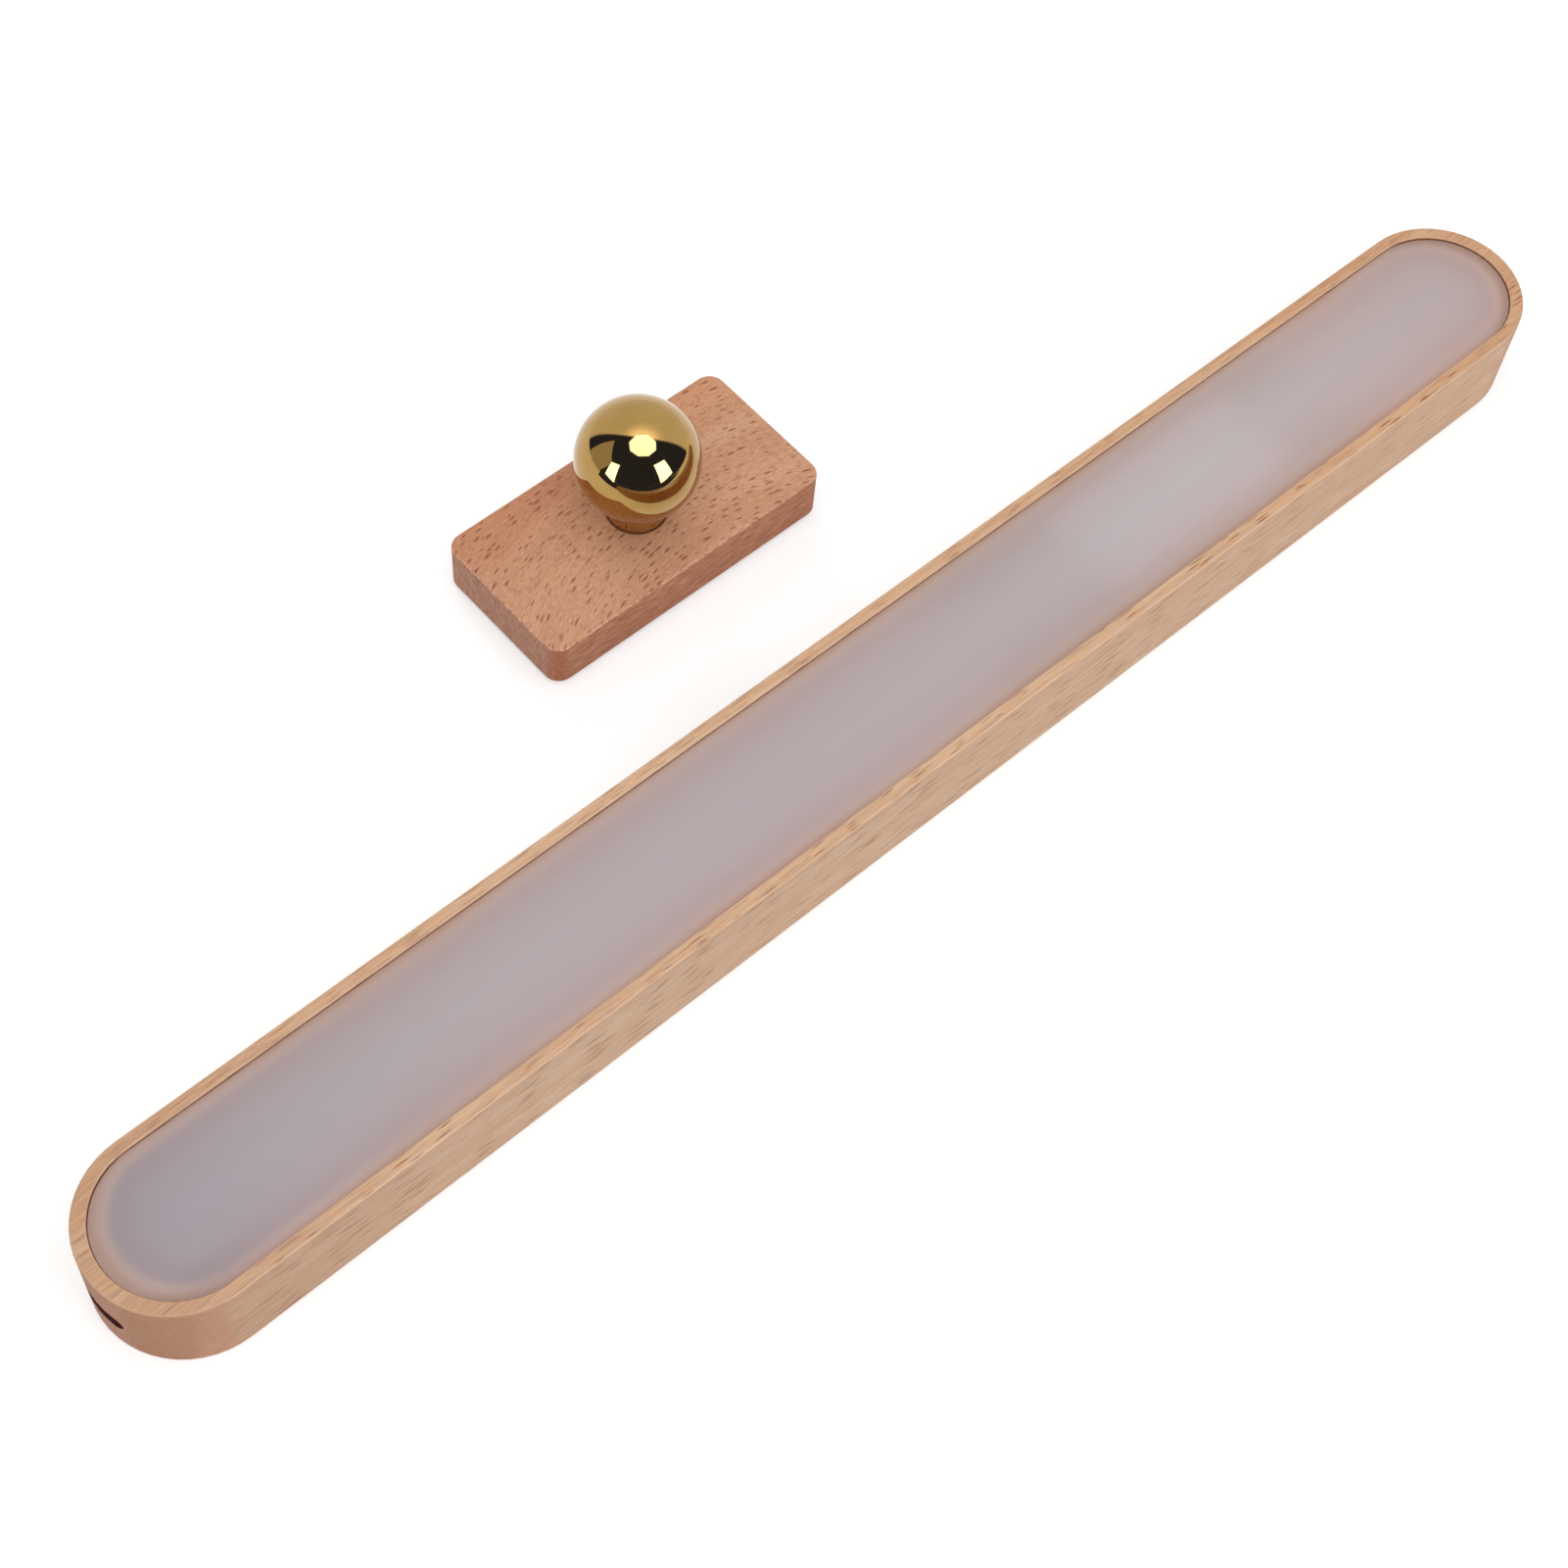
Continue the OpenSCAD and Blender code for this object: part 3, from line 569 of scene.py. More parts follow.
PALE_SPANS = {
    "broad": (0.35, 0.65),
    "blush": (0.45, 0.70, 0.0, 0.28),
    "stripe": (0.42, 0.70),
    "fibre": (0.40, 0.72),
    "end middle": (0.86, 1.0),
    "end dark spot": (0.48, 0.68, 0.0, 0.55),
    "end pale spot": (0.30, 0.46, 0.45, 0.0),
    # How the painted edge highlight follows the stripes and fades on the end grain
    "worn by stripe": (0.35, 0.60, 0.45, 1.0),
    "worn by end": (0, 0.4, 0.5, 0.12),
    "roughness": (0.3, 0.7, 0.46, 0.62),
}
# Weights of the marks on the sides and on the top
PALE_STRIPE_WEIGHT = (0.20, 0.34)
PALE_FIBRE_WEIGHT = (0.40, 0.45)
PALE_PORE_WEIGHT = (0.8, 0.4)
# Weight of fibres and pores on the end grain, and of the end grain over the rest
PALE_END_MARKS = 0.1
PALE_END_WEIGHT = 0.85
# Pores thin out towards the far end, and flecks towards the near end and the far side
PALE_PORES_ALONG = (60, 150, 1.0, 0.5)
PALE_FLECKS_ALONG = (-190, -165, 0.4, 0.85)
PALE_FLECKS_ACROSS = (-8, 8)
PALE_FLECKS_FAR_SIDE = 0.5
# Redder near end: where it fades along the bar, how its factors change across, and the factors
PALE_NEAR = (-190, -110)
PALE_NEAR_ACROSS = (-16, 0)
PALE_NEAR_LOW = (0.86, 0.78, 0.74, 1)
PALE_NEAR_HIGH = (0.89, 0.85, 0.825, 1)
# Redder far end: where it comes in, its weights on the sides and on the top, and its factors
PALE_FAR = (50, 190)
PALE_FAR_WEIGHT = (0.4, 1.0)
PALE_FAR_FACTORS = (0.95, 0.86, 0.79, 1)
# Painted shade: dimmer upper part of the sides, by height and along the bar
PALE_UPPER = (6, 21)
PALE_UPPER_START = (-178, -150)
PALE_UPPER_STOP = (-10, 50)
PALE_UPPER_FACTORS = (0.95, 0.93, 0.925, 1)
# Redder side towards +Y
PALE_BACK_FACES = (0.3, 0.9)
PALE_BACK_FACTORS = (0.98, 0.82, 0.79, 1)
# Painted shade on the walls inside the bar's rim: its outline from the bar's middle line, how far under the
# diffuser's top it is full and is gone, how much higher it reaches at the round ends, and how little its
# faces point up
RECESS_SHADE_OUTLINE = (18.0, 18.3)
RECESS_SHADE_FULL = 0.25
RECESS_SHADE_GONE = 0.1
RECESS_SHADE_END_RISE = 0.45
RECESS_SHADE_FACES = (0.3, 0.6)
RECESS_SHADE_WEIGHT = 0.8
# How far past the slot's own outline its painted shadow is full and is gone
SLOT_SHADOW_FULL = 0.02
SLOT_SHADOW_GONE = 0.12
PALE_DENT = 0.6
PALE_BUMP = {"depth": 0.05 * MM, "strength": 0.7}


def pale_grain(graph, on, grain, stripe, fibre, open_share):
    """Colour of the bar's grain without its marks."""
    broad = graph.streaks(grain, **PALE_STREAKS["broad"])
    blush = graph.streaks(grain, **PALE_STREAKS["blush"])
    broad_share = graph.span(broad, *PALE_SPANS["broad"])
    top = graph.mix(broad_share, PALE_TONES["top light"], PALE_TONES["top dark"])
    top = graph.mix(graph.span(blush, *PALE_SPANS["blush"]), top, PALE_TONES["blush"])
    side = graph.mix(broad_share, PALE_TONES["side light"], PALE_TONES["side dark"])
    colour = graph.mix(on.top, side, top)
    stripes = graph.product(graph.span(stripe, *PALE_SPANS["stripe"]),
                            graph.weight(on.top, *PALE_STRIPE_WEIGHT))
    colour = graph.mix(stripes, colour, PALE_TONES["stripe"])
    fibres = graph.product(graph.span(fibre, *PALE_SPANS["fibre"]), open_share,
                           graph.weight(on.top, *PALE_FIBRE_WEIGHT))
    return graph.mix(fibres, colour, PALE_TONES["fibre"])


def pale_marks(graph, on, grain, open_share):
    """Short pores on every long face, and bold flecks on the rim."""
    _, grain_y, grain_z = graph.parts(grain)
    lift = graph.math("MULTIPLY", graph.math("SUBTRACT", grain_y, grain_z), on.top)
    across = graph.math("ADD", grain_z, lift)
    pores = graph.product(dashes(graph, on.x, across, **PALE_PORES), open_share)
    flecks = graph.product(dashes(graph, on.x, across, **PALE_FLECKS), on.top)
    return pores, flecks


def pale_marked(graph, on, colour, pores, flecks):
    """Colour with the pores and flecks on it."""
    pore_weight = graph.product(graph.weight(on.top, *PALE_PORE_WEIGHT), graph.span(on.x, *PALE_PORES_ALONG))
    colour = graph.mix(graph.product(pores, pore_weight), colour, PALE_TONES["pore"])
    fleck_across = graph.span(on.y, *across_bar(*PALE_FLECKS_ACROSS), 1.0, PALE_FLECKS_FAR_SIDE)
    fleck_weight = graph.product(graph.span(on.x, *PALE_FLECKS_ALONG), fleck_across)
    return graph.mix(graph.product(flecks, fleck_weight), colour, PALE_TONES["fleck"])


def pale_tinted(graph, on, colour, upright):
    """Colour with the redder ends and back, and painted shade on the upper part of the sides."""
    near_across = graph.span(on.y, *across_bar(*PALE_NEAR_ACROSS))
    near_factors = graph.mix(near_across, PALE_NEAR_LOW, PALE_NEAR_HIGH)
    colour = graph.tint(graph.fade(on.x, *PALE_NEAR), colour, near_factors)
    far_share = graph.product(graph.span(on.x, *PALE_FAR), graph.weight(on.top, *PALE_FAR_WEIGHT))
    colour = graph.tint(far_share, colour, PALE_FAR_FACTORS)
    # Painted shade on the upper part of the sides
    upper_share = graph.product(upright, graph.span(on.z, *PALE_UPPER),
                                graph.fade(on.x, *PALE_UPPER_STOP), graph.span(on.x, *PALE_UPPER_START))
    colour = graph.tint(upper_share, colour, PALE_UPPER_FACTORS)
    back_share = graph.product(graph.span(on.normal[1], *PALE_BACK_FACES), upright)
    return graph.tint(back_share, colour, PALE_BACK_FACTORS)


def pale_end_grain(graph, on):
    """Colour of the end grain on the round ends, with painted light that makes it paler where the end faces
    straight along the bar.
    """
    speckle = graph.spots(on.place, **PALE_SPECKLE)
    # Painted light where the end faces straight along the bar
    middle = graph.span(on.facing[0], *PALE_SPANS["end middle"])
    colour = graph.mix(middle, PALE_TONES["end side"], PALE_TONES["end middle"])
    for spot in ("end dark spot", "end pale spot"):
        colour = graph.mix(graph.span(speckle, *PALE_SPANS[spot]), colour, PALE_TONES[spot])
    return colour


def pale_painted_shade(graph, on, colour):
    """Colour with painted shade on the walls inside the bar's rim, deeper at the round ends, and a painted
    shadow inside the charging slot.
    """
    # Painted shade on the walls inside the rim, below the diffuser's top
    inside = graph.fade(bar_distance(graph, on.place, BAR_HALF_RUN / MM), *RECESS_SHADE_OUTLINE)
    level = graph.math("SUBTRACT", on.z, graph.math("MULTIPLY", on.end, RECESS_SHADE_END_RISE))
    deep = graph.fade(level, DIFFUSER_TOP - RECESS_SHADE_FULL, DIFFUSER_TOP - RECESS_SHADE_GONE)
    milled = graph.product(inside, deep, graph.fade(on.facing[2], *RECESS_SHADE_FACES), RECESS_SHADE_WEIGHT)
    wall_shade_tone = graph.mix(on.end, PALE_TONES["milled"], PALE_TONES["milled end"])
    colour = graph.mix(milled, colour, wall_shade_tone)
    # Painted shadow on the wood inside the charging slot
    _, port_y, port_z = graph.parts(graph.vector("SUBTRACT", on.place, tuple(PORT / MM)))
    slot = run_distance(graph, port_y, port_z, SLOT_HALF_RUN)
    near_port = graph.math("LESS_THAN", on.x, (BAR.x - BAR_HALF_RUN) / MM)
    slot_shadow = graph.fade(slot, SLOT_RADIUS + SLOT_SHADOW_FULL, SLOT_RADIUS + SLOT_SHADOW_GONE)
    return graph.mix(graph.product(slot_shadow, near_port), colour, PALE_TONES["slot_shadow"])


def pale_beech():
    material, graph, shader = new_material("pale_beech", **WOOD_FINISH)
    on = Surface(graph, PALE_TOP_FACES, PALE_END_FACES)
    upright = graph.rest_of(on.top)
    open_share = graph.weight(on.end, 1.0, PALE_END_MARKS, smooth=False)
    sway = graph.weight(graph.streaks(on.place, **PALE_STREAKS["sway"]), -PALE_SWAY, PALE_SWAY, smooth=False)
    grain = graph.vector("ADD", on.place, graph.join(0.0, sway, sway))
    stripe = graph.streaks(grain, **PALE_STREAKS["stripe"])
    fibre = graph.streaks(grain, **PALE_STREAKS["fibre"])

    colour = pale_grain(graph, on, grain, stripe, fibre, open_share)
    pores, flecks = pale_marks(graph, on, grain, open_share)
    colour = pale_marked(graph, on, colour, pores, flecks)
    colour = pale_tinted(graph, on, colour, upright)
    end_weight = graph.product(on.end, upright, PALE_END_WEIGHT)
    colour = graph.mix(end_weight, colour, pale_end_grain(graph, on))
    # Painted highlight on the rounded edges under the rim's top, varied by the stripes and weaker on the end
    # grain
    highlight_and_wear = graph.product(highlight_and_wear_edge(graph, on, RIM_TOP), graph.span(stripe, *PALE_SPANS["worn by stripe"]),
                         graph.span(on.end, *PALE_SPANS["worn by end"]))
    colour = graph.mix(highlight_and_wear, colour, PALE_TONES["highlight_and_wear"])
    colour = pale_painted_shade(graph, on, colour)

    graph.put(shader.inputs["Base Color"], colour)
    graph.put(shader.inputs["Roughness"], graph.span(fibre, *PALE_SPANS["roughness"]))
    dents = graph.math("MULTIPLY", graph.math("MAXIMUM", pores, flecks), PALE_DENT)
    graph.put(shader.inputs["Normal"], graph.bump(graph.math("SUBTRACT", fibre, dents), **PALE_BUMP))
    return material


# Red beech of the wall plate

RED_TOP_FACES = (0.5, 0.95)
RED_END_FACES = (0.45, 0.95)
# The figure's slant and bend along the plate, and the share that they lose to each millimetre towards +Y
RED_SLANT = 0.06
RED_BEND = -0.004
RED_FAN = 0.03
RED_STREAKS = {
    "broad": {"length": 50, "width": 5, "detail": 3},
    "fibre": {"length": 4.5, "width": 0.36, "shift": (3, 7, 1), "detail": 3, "roughness": 0.6},
    "fine": {"length": 1.3, "width": 0.33, "shift": (6, 1, 9)},
    "rows": {"length": 26, "width": 1.8, "shift": (8, 2, 5)},
    "edge": {"length": 4.5, "width": 0.5, "shift": (4, 4, 2), "detail": 3, "roughness": 0.65},
}
RED_MOTTLE = {"density": (0.5, 1.6, 0.45), "detail": 3, "roughness": 0.6}
RED_LARGE_PORES = {"length": 5.4, "width": 1.4, "share": 0.85, "shift": (0, 0, 0)}
RED_SMALL_PORES = {"length": 2.9, "width": 0.85, "share": 0.45, "shift": (4, 9, 0)}
RED_TONES = {
    "light": srgb(210, 160, 123),
    "dark": srgb(200, 146, 109),
    "fibre": srgb(182, 122, 87),
    "fine dark": srgb(172, 111, 76),
    "fine pale": srgb(222, 178, 144),
    "edge light": srgb(209, 149, 113),
    "edge dark": srgb(165, 100, 67),
    "end light": srgb(190, 142, 119),
    "end dark": srgb(150, 102, 80),
    "corner": srgb(172, 98, 66),
    "small pore": srgb(164, 100, 68),
    "large pore": srgb(148, 80, 48),
    # Tone of the painted contact shadow round the ball's neck
    "neck_shadow": srgb(92, 48, 28),
    # Tones on the plate's rounded top edges: a painted highlight, and dark worn bits
    "worn pale": srgb(230, 184, 150),
    "worn dark": srgb(160, 94, 62),
}
RED_SPANS = {
    "broad": (0.35, 0.65),
    "fibre": (0.35, 0.72, 0.0, 0.35),
    "fine dark": (0.50, 0.72, 0.0, 0.48),
    "fine pale": (0.28, 0.46, 0.48, 0.0),
    "edge": (0.35, 0.70),
    "mottle": (0.35, 0.65),
    "rows": (0.36, 0.56, 0.35, 1.0),
    "worn pale": (0.42, 0.56, 0.75, 0.1),
    "worn dark": (0.54, 0.66, 0.0, 0.6),
    "roughness": (0.3, 0.7, 0.48, 0.64),
}
# Redder strip towards +Y and paler end towards +X, with their factors
RED_STRIP = (3, 17)
RED_STRIP_FACTORS = (0.96, 0.86, 0.79, 1)
RED_PALE_END = (10, 34)
RED_PALE_END_FACTORS = (1.05, 1.08, 1.09, 1)
RED_END_WEIGHT = 0.65
# On the middle of a round corner the two facings multiply to a half, which this gain makes 1
RED_CORNER_GAIN = 2.0
RED_CORNER_WEIGHT = 0.65
RED_SMALL_WEIGHT = 0.45
RED_LARGE_WEIGHT = 0.84
# Painted contact shadow on the plate round the ball's neck: how far past the neck it is full and is gone
NECK_SHADOW_FULL = 0.1
NECK_SHADOW_GONE = 0.55
NECK_SHADOW_WEIGHT = 0.85
RED_DENT = 0.9
RED_BUMP = {"depth": 0.08 * MM, "strength": 0.9}


def red_level(graph, on):
    """Place across the figure, which bends over the plate's length, and more so towards -Y."""
    bend = graph.math("MULTIPLY", graph.math("MULTIPLY", on.x, on.x), RED_BEND)
    drift = graph.math("ADD", graph.math("MULTIPLY", on.x, RED_SLANT), bend)
    share = graph.math("SUBTRACT", 1.0, graph.math("MULTIPLY", on.y, RED_FAN))
    return graph.math("SUBTRACT", on.y, graph.math("MULTIPLY", drift, share))


def red_face(graph, on, curved, fibre, fine):
    """Colour of the plate's face without its pores."""
    broad = graph.streaks(curved, **RED_STREAKS["broad"])
    colour = graph.mix(graph.span(broad, *RED_SPANS["broad"]), RED_TONES["light"], RED_TONES["dark"])
    colour = graph.mix(graph.span(fibre, *RED_SPANS["fibre"]), colour, RED_TONES["fibre"])
    for tone in ("fine dark", "fine pale"):
        colour = graph.mix(graph.span(fine, *RED_SPANS[tone]), colour, RED_TONES[tone])
    colour = graph.tint(graph.span(on.y, *RED_STRIP), colour, RED_STRIP_FACTORS)
    return graph.tint(graph.span(on.x, *RED_PALE_END), colour, RED_PALE_END_FACTORS)


def red_sides(graph, on):
    """Colour of the plate's long sides, end grain and corners."""
    straight = graph.streaks(on.place, **RED_STREAKS["edge"])
    mottle = graph.spots(on.place, **RED_MOTTLE)
    edge_share = graph.span(straight, *RED_SPANS["edge"])
    colour = graph.mix(edge_share, RED_TONES["edge light"], RED_TONES["edge dark"])
    end = graph.mix(graph.span(mottle, *RED_SPANS["mottle"]), RED_TONES["end light"], RED_TONES["end dark"])
    colour = graph.mix(graph.math("MULTIPLY", on.end, RED_END_WEIGHT), colour, end)
    corner = graph.product(on.facing[0], on.facing[1], RED_CORNER_GAIN)
    return graph.mix(graph.math("MULTIPLY", corner, RED_CORNER_WEIGHT), colour, RED_TONES["corner"])


def red_beech():
    material, graph, shader = new_material("red_beech", **WOOD_FINISH)
    on = Surface(graph, RED_TOP_FACES, RED_END_FACES)
    level = red_level(graph, on)
    curved = graph.join(on.x, level, on.z)
    fibre = graph.streaks(curved, **RED_STREAKS["fibre"])
    fine = graph.streaks(curved, **RED_STREAKS["fine"])
    colour = graph.mix(on.top, red_sides(graph, on), red_face(graph, on, curved, fibre, fine))

    rows = graph.span(graph.streaks(curved, **RED_STREAKS["rows"]), *RED_SPANS["rows"])
    large = graph.product(dashes(graph, on.x, level, **RED_LARGE_PORES), on.top, rows)
    small = graph.product(dashes(graph, on.x, level, **RED_SMALL_PORES), on.top)
    colour = graph.mix(graph.math("MULTIPLY", small, RED_SMALL_WEIGHT), colour, RED_TONES["small pore"])
    colour = graph.mix(graph.math("MULTIPLY", large, RED_LARGE_WEIGHT), colour, RED_TONES["large pore"])
    # Painted contact shadow on the plate where the neck meets it
    from_neck = run_distance(graph, on.x, on.y, 0.0)
    neck_shadow = graph.span(from_neck, NECK_RADIUS + NECK_SHADOW_FULL, NECK_RADIUS + NECK_SHADOW_GONE, NECK_SHADOW_WEIGHT, 0.0)
    colour = graph.mix(graph.product(neck_shadow, on.top), colour, RED_TONES["neck_shadow"])
    # Painted highlight on the plate's rounded top edges, broken up by the fine streaks, with dark worn bits
    highlight_and_wear = highlight_and_wear_edge(graph, on, PLATE_TOP)
    for tone in ("worn pale", "worn dark"):
        share = graph.product(highlight_and_wear, graph.span(fine, *RED_SPANS[tone]))
        colour = graph.mix(share, colour, RED_TONES[tone])

    graph.put(shader.inputs["Base Color"], colour)
    graph.put(shader.inputs["Roughness"], graph.span(fibre, *RED_SPANS["roughness"]))
    dents = graph.math("MULTIPLY", large, RED_DENT)
    height = graph.math("SUBTRACT", graph.math("ADD", fibre, fine), dents)
    graph.put(shader.inputs["Normal"], graph.bump(height, **RED_BUMP))
    return material


# Frosted acrylic of the diffuser

ACRYLIC_FINISH = {"IOR": 1.49, "Specular_IOR_Level": 0.3}
# The ledge behind the diffuser shows as a warm band, which is wider at the round ends by this much
LEDGE_END_EXTRA = 1.5
# Colour by distance inward from the edge
EDGE_SPAN = 17.0
EDGE_COLOURS = [
    (0.0, srgb(184, 150, 133)),
    (1.2, srgb(189, 160, 147)),
    (2.5, srgb(190, 165, 157)),
    (5.0, srgb(185, 165, 163)),
    (9.0, srgb(188, 172, 170)),
    (EDGE_SPAN, srgb(188, 176, 176)),
]
CLOUD = {"length": 40, "width": 14}
CLOUD_WANDER = (0.3, 0.7, -0.5, 0.5)
# Factors along the bar, from the near end to the far end, by distance from its middle
SHADE_ALONG = [
    (-195, (0.67, 0.71, 0.77, 1)),
    (-155, (0.80, 0.82, 0.85, 1)),
    (-110, (0.88, 0.88, 0.885, 1)),
    (40, (0.92, 0.92, 0.925, 1)),
    (95, (0.985, 0.99, 0.99, 1)),
    (155, (0.99, 0.97, 0.965, 1)),
    (195, (0.94, 0.90, 0.89, 1)),
]
SHADE_WEIGHT = (1.2, 3.8, 0.38, 1.0)
# Painted shadow of the far end's wall on the diffuser, a dimmer margin at the far end: its width from the
# edge, and where it comes in as a share of the length
FAR_MARGIN = (0.2, 3.4)
FAR_MARGIN_START = (0.94, 0.98)
FAR_MARGIN_FACTORS = (0.82, 0.83, 0.87, 1)
# Painted light: paler patch towards the far end; where it starts and stops along the bar, and its half width
PATCH_START = (58, 72)
PATCH_STOP = (112, 127)
PATCH_WIDTH = (9, 15)
PATCH_FACTORS = (1.045, 1.075, 1.08, 1)
# Painted shade: dimmer strips on both sides of the patch, which give way to it at half its share
STRIP_START = (18, 40)
STRIP_STOP = (134, 148)
STRIP_ASIDE = (3, 9)
STRIP_GIVES_WAY = (0, 0.5)
STRIP_FACTORS = (0.955, 0.975, 0.965, 1)
# Factors on the two sides of the bar's middle
SIDES_ACROSS = (-12, 12)
SIDE_LOW_FACTORS = (1.025, 1.01, 1.01, 1)
SIDE_HIGH_FACTORS = (0.985, 0.98, 0.975, 1)
# Dimmer corner of the near end, on the side towards -Y
NEAR_CORNER_ALONG = (-186, -160)
NEAR_CORNER_ACROSS = (-16, -7)
NEAR_CORNER_FACTORS = (0.89, 0.90, 0.90, 1)
FROST_SCALE = 5.0
FROST_ROUGHNESS = (0.3, 0.7, 0.50, 0.60)
FROST_BUMP = {"depth": 0.01 * MM, "strength": 0.3}


def acrylic_base(graph, place, along):
    """Colour from the edge inward and along the bar, with the ledge's warm band."""
    from_middle = bar_distance(graph, place, DIFFUSER_HALF_RUN - LEDGE_END_EXTRA)
    band = graph.math("SUBTRACT", DIFFUSER_RADIUS, from_middle)
    cloud = graph.streaks(place, **CLOUD)
    wander = graph.math("ADD", band, graph.span(cloud, *CLOUD_WANDER))
    colour = graph.ramp(graph.math("DIVIDE", wander, EDGE_SPAN),
                        [(depth / EDGE_SPAN, tone) for depth, tone in EDGE_COLOURS])
    shade = graph.ramp(along, [((x / DIFFUSER_HALF + 1) / 2, factors) for x, factors in SHADE_ALONG])
    return graph.tint(graph.span(band, *SHADE_WEIGHT), colour, shade)


def acrylic_patches(graph, place, colour):
    """Colour with the paler patch of painted light, the strips of painted shade beside it, the two sides and
    the dimmer near corner.
    """
    x, y, _ = graph.parts(place)
    aside = graph.math("ABSOLUTE", graph.math("SUBTRACT", y, BAR_MIDDLE))
    patch = graph.product(graph.span(x, *PATCH_START), graph.fade(x, *PATCH_STOP),
                          graph.fade(aside, *PATCH_WIDTH))
    strips = graph.product(graph.span(x, *STRIP_START), graph.fade(x, *STRIP_STOP),
                           graph.span(aside, *STRIP_ASIDE))
    strips = graph.product(strips, graph.rest_of(graph.span(patch, *STRIP_GIVES_WAY)))
    # Painted light in the patch and painted shade in the strips beside it
    colour = graph.tint(patch, colour, PATCH_FACTORS)
    colour = graph.tint(strips, colour, STRIP_FACTORS)
    sides = graph.mix(graph.span(y, *across_bar(*SIDES_ACROSS)), SIDE_LOW_FACTORS, SIDE_HIGH_FACTORS)
    colour = graph.tint(1.0, colour, sides)
    corner = graph.product(graph.fade(x, *NEAR_CORNER_ALONG), graph.fade(y, *across_bar(*NEAR_CORNER_ACROSS)))
    return graph.tint(corner, colour, NEAR_CORNER_FACTORS)


def frosted_acrylic():
    material, graph, shader = new_material("frosted_acrylic", **ACRYLIC_FINISH)
    place = graph.place()
    near_end = BAR.x / MM - DIFFUSER_HALF
    far_end = BAR.x / MM + DIFFUSER_HALF
    along = graph.span(graph.parts(place)[0], near_end, far_end, smooth=False)
    colour = acrylic_base(graph, place, along)
    inward = graph.math("SUBTRACT", DIFFUSER_RADIUS, bar_distance(graph, place, DIFFUSER_HALF_RUN))
    # Painted shadow of the far end's wall
    margin = graph.product(graph.fade(inward, *FAR_MARGIN), graph.span(along, *FAR_MARGIN_START))
    colour = graph.tint(margin, colour, FAR_MARGIN_FACTORS)
    colour = acrylic_patches(graph, place, colour)
    graph.put(shader.inputs["Base Color"], colour)
    frost = graph.noise(place, scale=FROST_SCALE)
    graph.put(shader.inputs["Roughness"], graph.span(frost, *FROST_ROUGHNESS))
    graph.put(shader.inputs["Normal"], graph.bump(frost, **FROST_BUMP))
    return material


# Metals, and moulded or painted surfaces

# Noise values between which these materials change from one tone or roughness to the other
NOISE_LOW = 0.3
NOISE_HIGH = 0.7

# Polished gilding under a clear lacquer
GILDED_FINISH = {"Metallic": 1.0, "Coat_Weight": 0.35, "Coat_Roughness": 0.03}
GILDED_LIGHT = srgb(175, 139, 76)
GILDED_DARK = srgb(170, 134, 70)
# Paler gold on the neck and the ball's underside, a painted brighter reflection of the plate below
GILDED_PAINTED_REFLECTION = srgb(198, 160, 102)
# Heights between which the painted reflection of the plate on the neck and the ball's underside gives way
GILDED_PAINTED_REFLECTION_HEIGHTS = (19, 29)
GILDED_CLOUD_SCALE = 0.25
GILDED_SWIRL_SCALE = 1.5
GILDED_ROUGHNESS = (0.03, 0.06)

# Satin metals: colour, and the lowest and highest roughness
METALS = {
    "steel": (srgb(205, 206, 208), 0.22, 0.36),
    "nickel": (srgb(208, 203, 194), 0.16, 0.30),
}
METAL_MARKS = {"length": 3, "width": 0.15, "detail": 3}
METAL_DARK = 0.82

# Moulded or painted surfaces: colour, lowest and highest roughness, and the size of the texture
MOULDED = {
    "black_plastic": (srgb(38, 38, 40), 0.45, 0.60, 0.40),
    "foam_pad": (srgb(58, 58, 61), 0.75, 0.90, 0.25),
    "white_board": (srgb(234, 234, 230), 0.35, 0.50, 0.40),
    "lamp_chip": (srgb(240, 216, 130), 0.30, 0.45, 0.40),
    "green_board": (srgb(34, 98, 58), 0.30, 0.45, 0.40),
    "cell_sleeve": (srgb(52, 92, 160), 0.25, 0.40, 0.40),
    "red_lead": (srgb(168, 42, 36), 0.40, 0.55, 0.40),
    "grey_lead": (srgb(112, 112, 116), 0.40, 0.55, 0.40),
}
MOULDED_IOR = 1.48
MOULDED_CLOUD_SCALE = 0.15
MOULDED_DARK = 0.8
MOULDED_BUMP = {"depth": 0.02 * MM, "strength": 0.4}


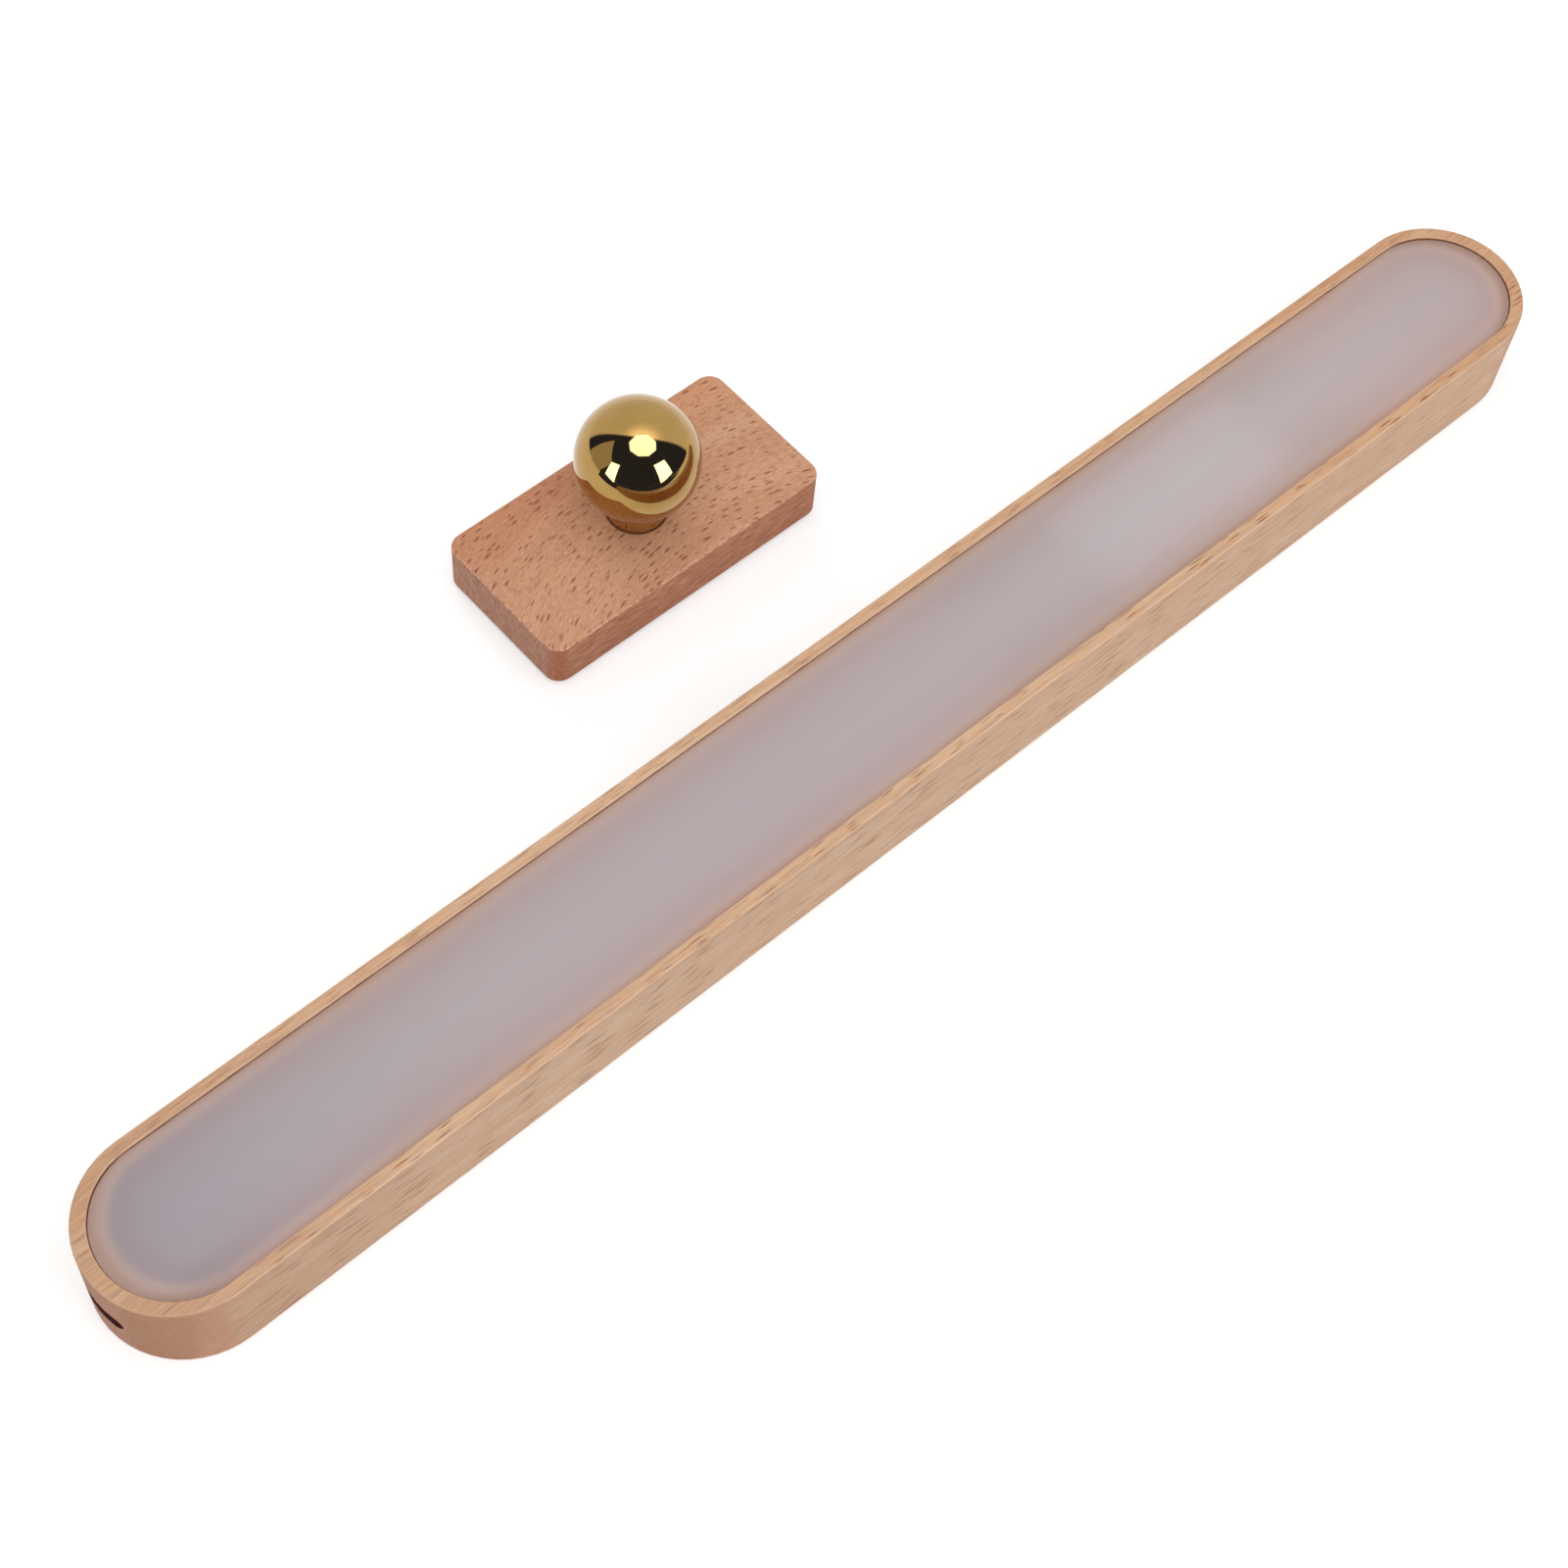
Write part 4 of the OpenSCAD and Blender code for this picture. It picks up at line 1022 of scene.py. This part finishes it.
def gilded_metal():
    material, graph, shader = new_material("gilded_metal", **GILDED_FINISH)
    place = graph.place()
    cloud = graph.noise(place, scale=GILDED_CLOUD_SCALE)
    colour = graph.mix(graph.span(cloud, NOISE_LOW, NOISE_HIGH), GILDED_LIGHT, GILDED_DARK)
    # Painted reflection: paler gold low down, on the neck and the ball's underside
    painted_reflection_share = graph.fade(graph.parts(place)[2], *GILDED_PAINTED_REFLECTION_HEIGHTS)
    colour = graph.mix(painted_reflection_share, colour, GILDED_PAINTED_REFLECTION)
    graph.put(shader.inputs["Base Color"], colour)
    swirl = graph.noise(place, detail=3, scale=GILDED_SWIRL_SCALE)
    graph.put(shader.inputs["Roughness"], graph.span(swirl, NOISE_LOW, NOISE_HIGH, *GILDED_ROUGHNESS))
    return material


def plain_metal(name, tone, low, high):
    """Satin metal with fine rubbing marks."""
    material, graph, shader = new_material(name, Metallic=1.0)
    marks = graph.streaks(graph.place(), **METAL_MARKS)
    colour = graph.mix(graph.span(marks, NOISE_LOW, NOISE_HIGH), tone, darker(tone, METAL_DARK))
    graph.put(shader.inputs["Base Color"], colour)
    graph.put(shader.inputs["Roughness"], graph.span(marks, NOISE_LOW, NOISE_HIGH, low, high))
    return material


def moulded(name, tone, low, high, grain):
    """Moulded or painted surface with a fine texture and a little tone variation."""
    material, graph, shader = new_material(name, IOR=MOULDED_IOR)
    place = graph.place()
    texture = graph.noise(place, detail=3, scale=1 / grain)
    cloud = graph.noise(place, scale=MOULDED_CLOUD_SCALE)
    colour = graph.mix(graph.span(cloud, NOISE_LOW, NOISE_HIGH), tone, darker(tone, MOULDED_DARK))
    graph.put(shader.inputs["Base Color"], colour)
    graph.put(shader.inputs["Roughness"], graph.span(texture, NOISE_LOW, NOISE_HIGH, low, high))
    graph.put(shader.inputs["Normal"], graph.bump(texture, **MOULDED_BUMP))
    return material


# Materials of the carried-over nodes, by the record's slots

def slot_materials():
    materials = {
        "pale_beech": pale_beech(),
        "red_beech": red_beech(),
        "frosted_acrylic": frosted_acrylic(),
        "gilded_metal": gilded_metal(),
    }
    materials.update((name, plain_metal(name, *look)) for name, look in METALS.items())
    materials.update((name, moulded(name, *look)) for name, look in MOULDED.items())
    return materials


def coat_nodes():
    materials = slot_materials()
    for part in frame["record"]["subparts"]:
        slots = nodes[part["node"]].data.materials
        slots.clear()
        slots.append(materials[part["material_slot"]])


make_camera()
make_studio()
coat_nodes()
scene.view_settings.view_transform = "Standard"
